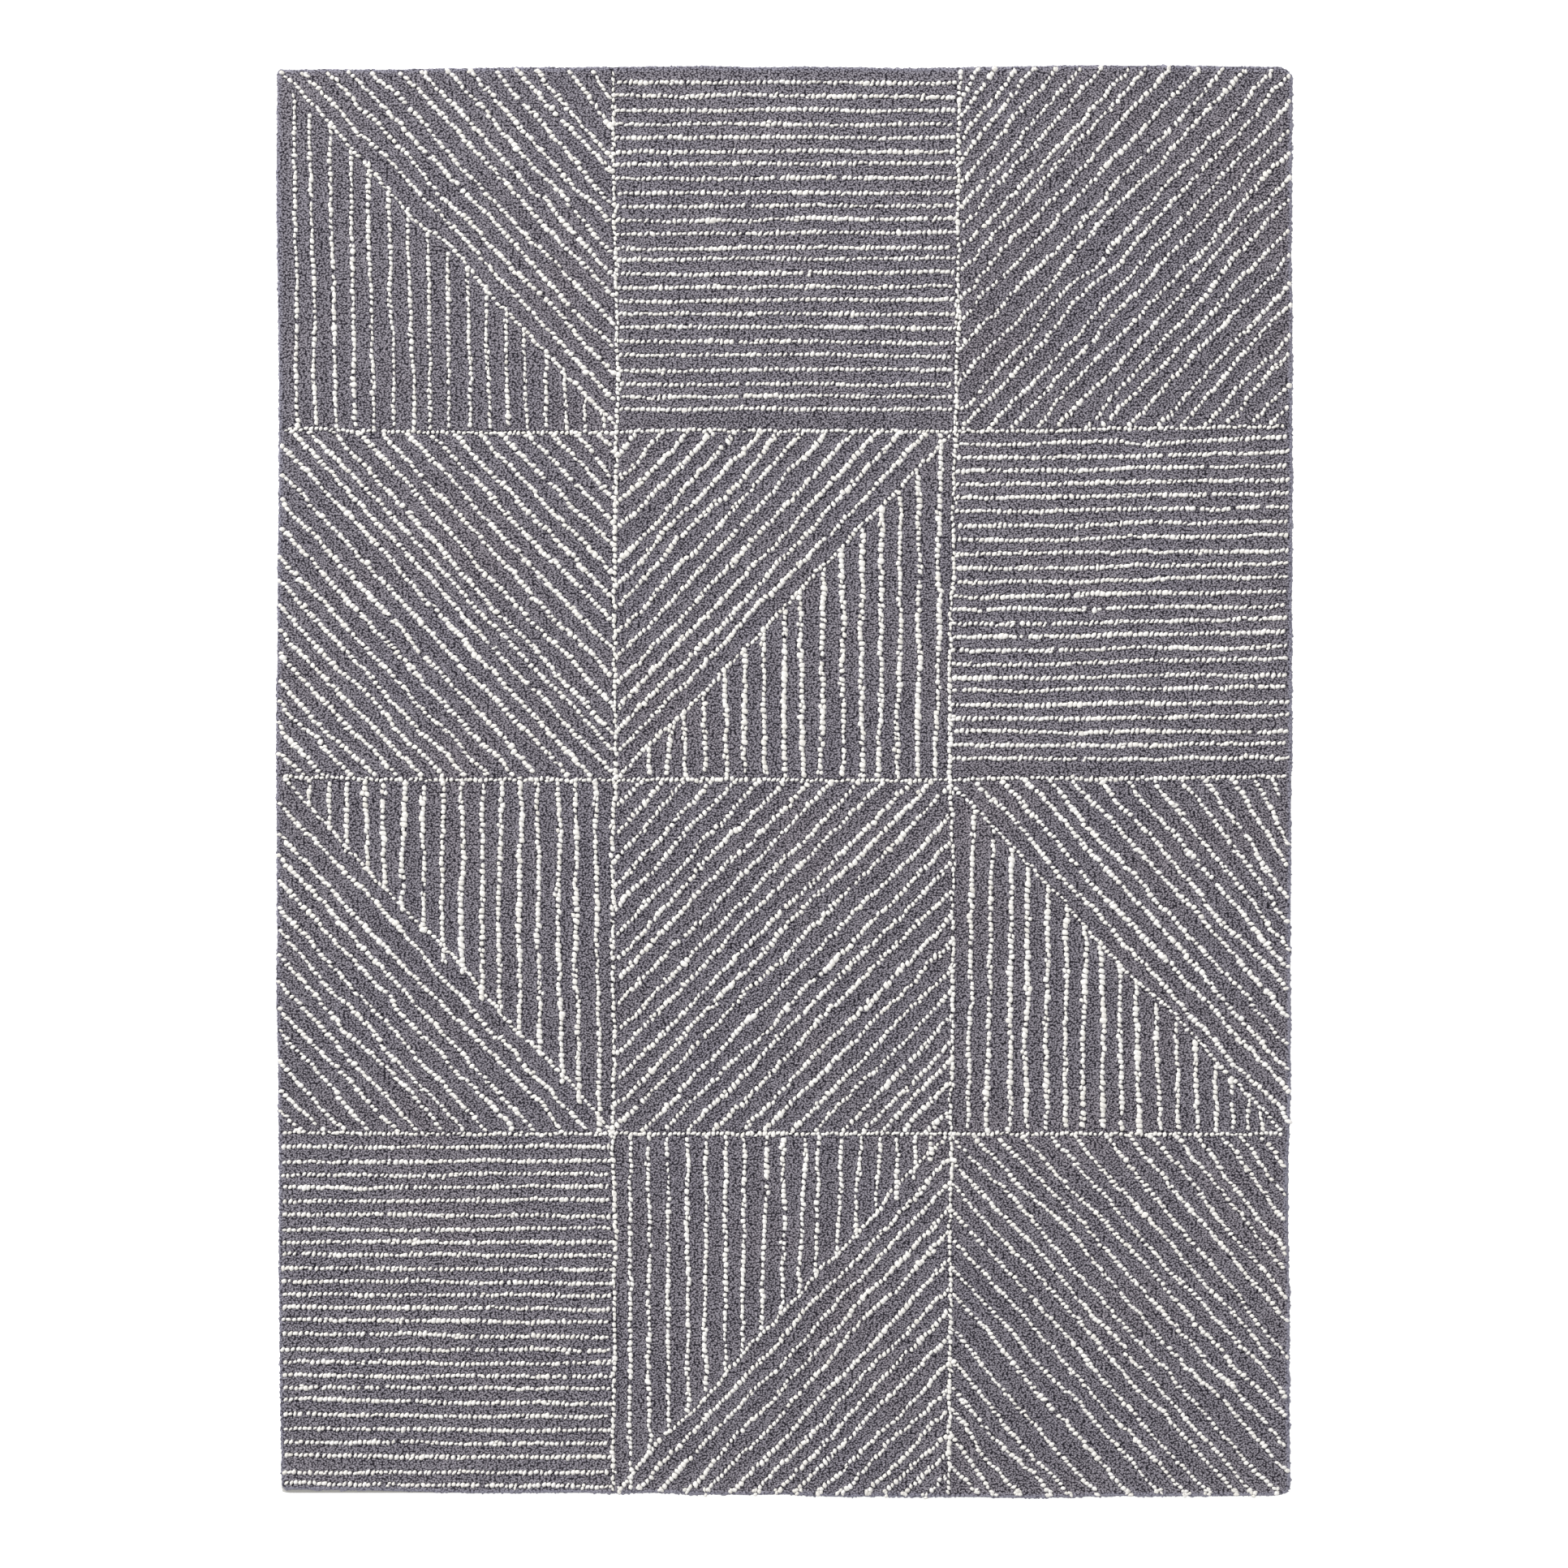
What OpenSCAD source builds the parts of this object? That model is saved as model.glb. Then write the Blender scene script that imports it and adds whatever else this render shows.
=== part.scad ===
// Area rug: grey tufted pile in twelve panels, with rows of ivory yarn loops
// that run in a different direction in each panel. Three panels wide, four long.
// Frame: origin on the floor under the middle of the rug, +X across the width,
// +Y along the length towards the head end, +Z up.

/* [Rug] */
// Width of the rug, edge to edge of the pile
rug_w = 1700; // [1690:1:1710]
// Length of the rug, edge to edge of the pile
rug_l = 2400; // [2390:1:2410]
// Corner radius at the head end, left
corner_head_left = 8; // [2:1:12]
// Corner radius at the head end, right
corner_head_right = 26; // [4:1:30]
// Corner radius at the foot end, left
corner_foot_left = 10; // [2:1:14]
// Corner radius at the foot end, right
corner_foot_right = 20; // [4:1:26]

/* [Panel grid] */
// Ivory line between the left and middle columns, distance from the centre
line_left_x = 285; // [280:1:290]
// Ivory line between the middle and right columns, distance from the centre
line_right_x = 284; // [280:1:290]
// Ivory line between the first and second rows of panels
line_y1 = 590; // [586:1:594]
// Ivory line between the second and third rows of panels
line_y2 = 4; // [2:1:6]
// Ivory line between the third and fourth rows of panels
line_y3 = -592; // [-596:1:-588]

/* [Pile and loops] */
// Height of the grey pile above the cloth it is tufted into
pile_h = 9.2; // [6:0.2:14]
// How far the ivory loops stand above the grey pile
loop_rise = 1.5; // [0.5:0.1:3]
// Width of one row of ivory loops
loop_w = 6.4; // [5:0.2:8]
// Clearance between a row of loops and the pile on each side of it
row_gap = 0.1; // [0.05:0.05:0.3]
// Distance from the rug's outer edge to the end of a row of loops
edge_margin = 12; // [12:1:16]
// Distance from an ivory grid line to the end of a row of loops
line_margin = 7; // [6:1:10]

/* [Backing] */
// Thickness of the cloth that the yarn is tufted into
primary_t = 0.8; // [0.5:0.1:1.2]
// Thickness of the latex that locks the tufts
latex_t = 1.2; // [0.8:0.1:2]
// Thickness of the canvas on the underside, and of the tape around it
canvas_t = 0.8; // [0.7:0.1:1.2]
// How far the backing layers sit in from the edge of the pile
backing_inset = 3; // [2:0.5:6]
// Width of the tape around the underside
tape_w = 38; // [25:1:60]
// Gap between neighbouring pieces of backing
tape_gap = 0.2; // [0.1:0.1:1]
// Care label on the underside: width
label_w = 60; // [40:1:90]
// Care label on the underside: height
label_h = 40; // [30:1:60]
// Care label on the underside: thickness
label_t = 0.4; // [0.2:0.1:0.5]

/* [Hidden] */

grey = [0.43, 0.415, 0.45];
ivory = [0.92, 0.91, 0.88];
half_w = rug_w / 2;
half_l = rug_l / 2;
z_latex = canvas_t;
z_primary = z_latex + latex_t;
z_pile = z_primary + primary_t;
z_top = z_pile + pile_h + loop_rise;

// Edges of the columns and rows of panels, from left to right and head to foot
col_x = [-half_w, -line_left_x, line_right_x, half_w];
row_y = [half_l, line_y1, line_y2, line_y3, -half_l];

// Each field of rows: [number of rows, where the first row starts, where the
// last row starts, where the first row ends, where the last row ends]. The rows
// between are evenly spaced, so the four points set the pitch and the slope.
diag_r1c1 = [14, [-843, 1189], [-318, 1189], [-296, 609], [-296, 1148]];
vert_r1c1 = [17, [-819, 597], [-304, 597], [-826, 1149], [-308, 1149]];
hori_r1c2 = [25, [-277, 1176], [-277, 626], [275, 1174], [275, 624]];
diag_r1c3 = [28, [295, 1152], [295, 36], [836, 1763], [836, 619]];
diag_r2c1 = [27, [-839, 36], [-839, 1135], [-293, -527], [-293, 561]];
diag_r2c2 = [14, [-274, 553], [-274, 13], [-250, 581], [278, 581]];
vert_r2c2 = [16, [-228, 15], [252, 15], [-228, 549], [259, 549]];
hori_r2c3 = [24, [293, 566], [293, 39], [839, 578], [839, 38]];
diag_r3c1 = [14, [-836, -565], [-836, 1], [-817, -584], [-295, -584]];
vert_r3c1 = [16, [-798, -4], [-318, -4], [-798, -569], [-312, -569]];
diag_r3c2 = [27, [-274, -33], [-274, -1132], [277, 537], [277, -555]];
diag_r3c3 = [14, [282, -4], [821, -4], [833, -591], [833, -32]];
vert_r3c3 = [17, [307, -584], [800, -584], [318, -64], [799, -64]];
hori_r4c1 = [26, [-840, -613], [-840, -1181], [-295, -615], [-295, -1184]];
vert_r4c2 = [17, [-260, -600], [245, -600], [-260, -1162], [245, -1162]];
diag_r4c2 = [15, [274, -593], [274, -1163], [-275, -1187], [247, -1187]];
diag_r4c3 = [26, [290, -1162], [290, 4], [833, -1743], [833, -643]];

// What each panel holds: [field, limit]. A limit is [left end, right end, side]
// of a panel's dividing diagonal; side 1 keeps the rows above it, -1 below it.
fields = [
    [[[diag_r1c1, []], [vert_r1c1, [[-843, 1189], [-296, 609], -1]]],
     [[hori_r1c2, []]],
     [[diag_r1c3, []]]],
    [[[diag_r2c1, []]],
     [[diag_r2c2, []], [vert_r2c2, [[-274, 13], [278, 581], -1]]],
     [[hori_r2c3, []]]],
    [[[diag_r3c1, []], [vert_r3c1, [[-836, 1], [-295, -584], 1]]],
     [[diag_r3c2, []]],
     [[diag_r3c3, []], [vert_r3c3, [[282, -4], [833, -591], -1]]]],
    [[[hori_r4c1, []]],
     [[diag_r4c2, []], [vert_r4c2, [[-275, -1187], [274, -593], 1]]],
     [[diag_r4c3, []]]]];

function lerp(a, b, t) = a + (b - a) * t;

// Range of travel along a line for which one coordinate stays between lo and hi
function span(p, d, lo, hi) = abs(d) < 1e-6 ? [-1e6, 1e6]
    : let (a = (lo - p) / d, b = (hi - p) / d) [min(a, b), max(a, b)];

// Range of travel along a line that stays on the wanted side of a diagonal
function keep(p, u, h) = len(h) == 0 ? [-1e6, 1e6]
    : let (e = h[1] - h[0], n = [-e[1], e[0]] / norm(e) * h[2],
           s = n * u, c = line_margin - n * (p - h[0]))
      abs(s) < 1e-6 ? [-1e6, 1e6] : s > 0 ? [c / s, 1e6] : [-1e6, c / s];

// Box that a panel's rows stay inside: [left, foot, right, head]
function row_box(r, c) = [
    col_x[c] + (c == 0 ? edge_margin : line_margin),
    row_y[r + 1] + (r == 3 ? edge_margin : line_margin),
    col_x[c + 1] - (c == 2 ? edge_margin : line_margin),
    row_y[r] - (r == 0 ? edge_margin : line_margin)];

// One row of a field: [point, direction, start, end]
function row_at(f, i, b, h) =
    let (t = i / (f[0] - 1), p = lerp(f[1], f[2], t), q = lerp(f[3], f[4], t),
         u = (q - p) / norm(q - p), sx = span(p[0], u[0], b[0], b[2]),
         sy = span(p[1], u[1], b[1], b[3]), sh = keep(p, u, h))
    [p, u, max(sx[0], sy[0], sh[0]), min(sx[1], sy[1], sh[1])];

// All the rows of one panel as straight bars
module rows(r, c, w, z0, z1) {
    for (fh = fields[r][c])
        for (i = [0 : fh[0][0] - 1])
            let (k = row_at(fh[0], i, row_box(r, c), fh[1]))
                if (k[3] - k[2] > 16)
                    translate([k[0][0] + k[1][0] * k[2], k[0][1] + k[1][1] * k[2], z0])
                        rotate([0, 0, atan2(k[1][1], k[1][0])])
                            translate([0, -w / 2, 0])
                                cube([k[3] - k[2], w, z1 - z0]);
}

// Points round one corner of an outline; a is the angle where the corner starts
function corner(x, y, r, a) = r <= 0 ? [[x, y]]
    : [for (k = [0 : 6]) [x - sign(cos(a + 45)) * r + r * cos(a + k * 15),
                          y - sign(sin(a + 45)) * r + r * sin(a + k * 15)]];

// Rectangle with its own radius at each corner: head right, head left, foot left, foot right
function outline(x0, y0, x1, y1, hr, hl, fl, fr) = concat(
    corner(x1, y1, hr, 0), corner(x0, y1, hl, 90),
    corner(x0, y0, fl, 180), corner(x1, y0, fr, 270));

module slab(t, d) {
    linear_extrude(t)
        polygon(outline(-half_w + d, -half_l + d, half_w - d, half_l - d,
                        max(corner_head_right - d, 1), max(corner_head_left - d, 1),
                        max(corner_foot_left - d, 1), max(corner_foot_right - d, 1)));
}

// Half the width of a grid line's slot
line_half = loop_w / 2 + row_gap;

module pile_panel(r, c) {
    color(grey)
        difference() {
            translate([0, 0, z_pile])
                linear_extrude(pile_h)
                    polygon(outline(
                        col_x[c] + (c == 0 ? 0 : line_half), row_y[r + 1] + (r == 3 ? 0 : line_half),
                        col_x[c + 1] - (c == 2 ? 0 : line_half), row_y[r] - (r == 0 ? 0 : line_half),
                        r == 0 && c == 2 ? corner_head_right : 0, r == 0 && c == 0 ? corner_head_left : 0,
                        r == 3 && c == 0 ? corner_foot_left : 0, r == 3 && c == 2 ? corner_foot_right : 0));
            rows(r, c, loop_w + 2 * row_gap, z_pile - 1, z_top + 1);
        }
}

module loop_rows(r, c) {
    color(ivory) rows(r, c, loop_w, z_pile, z_top);
}

// Ivory lines that run the whole length of the rug
module loop_line_length(x) {
    color(ivory)
        translate([x - loop_w / 2, -half_l, z_pile])
            cube([loop_w, rug_l, z_top - z_pile]);
}

// Ivory line across the rug, broken where it meets the two long lines
module loop_line_across(y) {
    color(ivory)
        for (c = [0 : 2])
            let (a = col_x[c] + (c == 0 ? 0 : line_half), b = col_x[c + 1] - (c == 2 ? 0 : line_half))
                translate([a, y - loop_w / 2, z_pile])
                    cube([b - a, loop_w, z_top - z_pile]);
}

module primary_cloth() {
    color([0.80, 0.77, 0.70]) translate([0, 0, z_primary]) slab(primary_t, backing_inset);
}

module latex_layer() {
    color([0.86, 0.84, 0.78]) translate([0, 0, z_latex]) slab(latex_t, backing_inset);
}

label_at = [-720, -1080];

module backing_canvas() {
    d = backing_inset + tape_w + tape_gap;
    color([0.78, 0.74, 0.66])
        difference() {
            translate([-half_w + d, -half_l + d, 0]) cube([rug_w - 2 * d, rug_l - 2 * d, canvas_t]);
            translate([label_at[0] - label_w / 2 - tape_gap, label_at[1] - label_h / 2 - tape_gap, -1])
                cube([label_w + 2 * tape_gap, label_h + 2 * tape_gap, 1 + label_t]);
        }
}

// One side of the tape, mitred at both ends. n is the side: 0 head, 1 left, 2 foot, 3 right
module edge_tape(n) {
    m = backing_inset + tape_w;
    g = tape_gap / 2;
    w = half_w;
    l = half_l;
    ends = [
        [[-w + g, l], [w - g, l], [w - m - g, l - m], [-w + m + g, l - m]],
        [[-w, l - g], [-w + m, l - m - g], [-w + m, -l + m + g], [-w, -l + g]],
        [[-w + g, -l], [-w + m + g, -l + m], [w - m - g, -l + m], [w - g, -l]],
        [[w, l - g], [w, -l + g], [w - m, -l + m + g], [w - m, l - m - g]]];
    color([0.72, 0.68, 0.60])
        intersection() {
            slab(canvas_t, backing_inset);
            translate([0, 0, -1]) linear_extrude(canvas_t + 2) polygon(ends[n]);
        }
}

module care_label() {
    color([0.94, 0.94, 0.93])
        translate([label_at[0] - label_w / 2, label_at[1] - label_h / 2, 0])
            cube([label_w, label_h, label_t]);
}

pile_panel(0, 0);  // pile_panel_r1c1
pile_panel(0, 1);  // pile_panel_r1c2
pile_panel(0, 2);  // pile_panel_r1c3
pile_panel(1, 0);  // pile_panel_r2c1
pile_panel(1, 1);  // pile_panel_r2c2
pile_panel(1, 2);  // pile_panel_r2c3
pile_panel(2, 0);  // pile_panel_r3c1
pile_panel(2, 1);  // pile_panel_r3c2
pile_panel(2, 2);  // pile_panel_r3c3
pile_panel(3, 0);  // pile_panel_r4c1
pile_panel(3, 1);  // pile_panel_r4c2
pile_panel(3, 2);  // pile_panel_r4c3
loop_rows(0, 0);  // loop_rows_r1c1
loop_rows(0, 1);  // loop_rows_r1c2
loop_rows(0, 2);  // loop_rows_r1c3
loop_rows(1, 0);  // loop_rows_r2c1
loop_rows(1, 1);  // loop_rows_r2c2
loop_rows(1, 2);  // loop_rows_r2c3
loop_rows(2, 0);  // loop_rows_r3c1
loop_rows(2, 1);  // loop_rows_r3c2
loop_rows(2, 2);  // loop_rows_r3c3
loop_rows(3, 0);  // loop_rows_r4c1
loop_rows(3, 1);  // loop_rows_r4c2
loop_rows(3, 2);  // loop_rows_r4c3
loop_line_length(-line_left_x);  // loop_line_length_left
loop_line_length(line_right_x);  // loop_line_length_right
loop_line_across(line_y1);  // loop_line_across_head
loop_line_across(line_y2);  // loop_line_across_middle
loop_line_across(line_y3);  // loop_line_across_foot
primary_cloth();
latex_layer();
backing_canvas();
edge_tape(0);  // edge_tape_head
edge_tape(2);  // edge_tape_foot
edge_tape(1);  // edge_tape_left
edge_tape(3);  // edge_tape_right
care_label();
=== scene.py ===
"""Area rug: grey cut pile in twelve panels with rows of ivory yarn loops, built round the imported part."""

import math

import bpy
import numpy as np
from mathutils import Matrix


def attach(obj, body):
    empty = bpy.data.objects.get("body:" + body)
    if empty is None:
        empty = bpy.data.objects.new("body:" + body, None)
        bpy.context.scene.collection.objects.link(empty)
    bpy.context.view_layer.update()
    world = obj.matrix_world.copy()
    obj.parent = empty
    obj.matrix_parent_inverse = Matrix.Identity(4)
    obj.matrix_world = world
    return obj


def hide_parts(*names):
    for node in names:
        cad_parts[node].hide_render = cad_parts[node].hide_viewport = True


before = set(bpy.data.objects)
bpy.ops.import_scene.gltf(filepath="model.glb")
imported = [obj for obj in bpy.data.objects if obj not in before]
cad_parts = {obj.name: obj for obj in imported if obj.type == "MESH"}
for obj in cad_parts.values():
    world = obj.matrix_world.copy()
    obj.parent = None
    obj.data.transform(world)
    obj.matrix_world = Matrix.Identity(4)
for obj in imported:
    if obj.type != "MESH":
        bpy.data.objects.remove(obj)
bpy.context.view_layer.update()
scene = bpy.context.scene

# --------------------------------------------------------------------------
# Camera: straight down on the rug, through a long lens
# --------------------------------------------------------------------------
cam_data = bpy.data.cameras.new("camera")
cam_data.lens = 85.0
cam_data.sensor_width = 36.0
cam_data.clip_start = 0.1
cam_data.clip_end = 100.0
cam_data.dof.use_dof = False
camera = bpy.data.objects.new("camera", cam_data)
scene.collection.objects.link(camera)
VIEW_W = 2.634  # metres across the square picture, at the top of the pile
camera.location = (-0.0014, -0.0044, 0.012 + VIEW_W * cam_data.lens / cam_data.sensor_width)
camera.rotation_euler = (0.0, 0.0, 0.0)
scene.camera = camera

# --------------------------------------------------------------------------
# Dimensions, in millimetres, in the part's frame
# --------------------------------------------------------------------------
HALF_W, HALF_L = 850.0, 1200.0
COLS = [-850.0, -285.0, 284.0, 850.0]
ROWS = [1200.0, 590.0, 4.0, -592.0, -1200.0]
Z_FLOOR, Z_PILE0, Z_PILE1, Z_LOOP = 0.0, 2.8, 12.0, 13.5
CORNER = {(-1, 1): 8.0, (1, 1): 26.0, (-1, -1): 10.0, (1, -1): 20.0}

# Where the five ivory lines and the four edges run. They are tufted by hand, so none is quite straight.
LINE_LEFT = [(-1200, -288), (-1140, -289), (-1033, -288), (-951, -285), (-896, -285), (-842, -287.5),
             (-760, -283.5), (-623, -289), (-514, -287.5), (-405, -286.5), (-323, -289), (-187, -289),
             (-105, -290.5), (-24, -286.5), (4, -284), (86, -285), (222, -286.5), (358, -286.5), (495, -285),
             (590, -282), (645, -279.5), (767, -282), (849, -283.5), (931, -286.5), (1200, -288)]
LINE_RIGHT = [(-1200, 277), (-1142, 275.5), (-1087, 277), (-1019, 275.5), (-978, 278), (-814, 278), (-760, 277),
              (-623, 281), (-555, 278), (-460, 282), (-187, 282), (-133, 283.5), (-78, 281), (4, 278), (195, 277),
              (304, 279.5), (358, 285), (440, 282.5), (549, 286), (631, 289), (767, 290.5), (904, 292),
              (972, 290.5), (1108, 292), (1163, 294.5), (1200, 297)]
LINE_HEAD = [(-850, 590), (-773, 593), (-746, 589), (-637, 588), (-555, 586), (-289, 586), (-228, 589), (-160, 590),
             (45, 589), (304, 587.5), (454, 589), (536, 592), (672, 593.5), (754, 595), (850, 597)]
LINE_MIDDLE = [(-850, 8), (-773, 6.5), (-705, 3.5), (-609, 2.5), (-500, 2.5), (-419, 3.5), (-337, 2.5), (-200, 2.5),
               (-91, 3.5), (154, 1), (290, 2.5), (372, 5), (454, 6), (536, 3.5), (618, 5), (699, 6.5), (850, 8)]
LINE_FOOT = [(-850, -589.5), (-705, -591), (-500, -593), (-288, -592), (454, -592), (590, -593), (727, -593.5),
             (850, -592)]
EDGE_HEAD = [(-850, 1196.5), (-828, 1196.5), (-751, 1197), (-674, 1196.5), (-597, 1198), (-520, 1199),
             (-443, 1200.5), (-365, 1200), (-288, 1201), (-211, 1202), (-134, 1202.5), (-57, 1200.5), (20, 1201.5),
             (98, 1201), (175, 1198.5), (252, 1199.5), (329, 1201.5), (406, 1202.5), (483, 1203.5), (561, 1203.5),
             (638, 1203.5), (715, 1202.5), (792, 1201.5), (850, 1201)]
EDGE_FOOT = [(-850, -1190.5), (-828, -1191), (-751, -1190.5), (-674, -1193), (-597, -1194.5), (-520, -1197),
             (-443, -1196.5), (-365, -1195.5), (-288, -1197.5), (-211, -1196), (-134, -1198.5), (-57, -1200),
             (20, -1199), (98, -1203.5), (175, -1202), (252, -1203), (329, -1203.5), (406, -1205), (483, -1203.5),
             (561, -1201.5), (638, -1202), (715, -1202.5), (792, -1201), (850, -1199.5)]
EDGE_LEFT = [(-1200, -845.5), (-1184, -846), (-1081, -847.5), (-978, -849.5), (-875, -850), (-772, -850.5),
             (-669, -850), (-566, -851.5), (-464, -852), (-361, -855), (-258, -853.5), (-155, -854), (-52, -854.5),
             (51, -855), (154, -854.5), (257, -852.5), (360, -853), (462, -850.5), (565, -850.5), (668, -850.5),
             (771, -851.5), (874, -853), (977, -854.5), (1080, -854), (1183, -853.5), (1200, -853.5)]
EDGE_RIGHT = [(-1200, 850), (-1184, 850), (-1081, 848.5), (-978, 848), (-875, 849), (-772, 846), (-669, 845),
              (-566, 849.5), (-464, 850.5), (-361, 850), (-258, 850), (-155, 851.5), (-52, 851), (51, 852.5),
              (154, 852.5), (257, 852.5), (360, 852.5), (462, 853.5), (565, 853), (668, 852.5), (771, 854),
              (874, 851.5), (977, 852.5), (1080, 852.5), (1183, 854), (1200, 854)]

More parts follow.
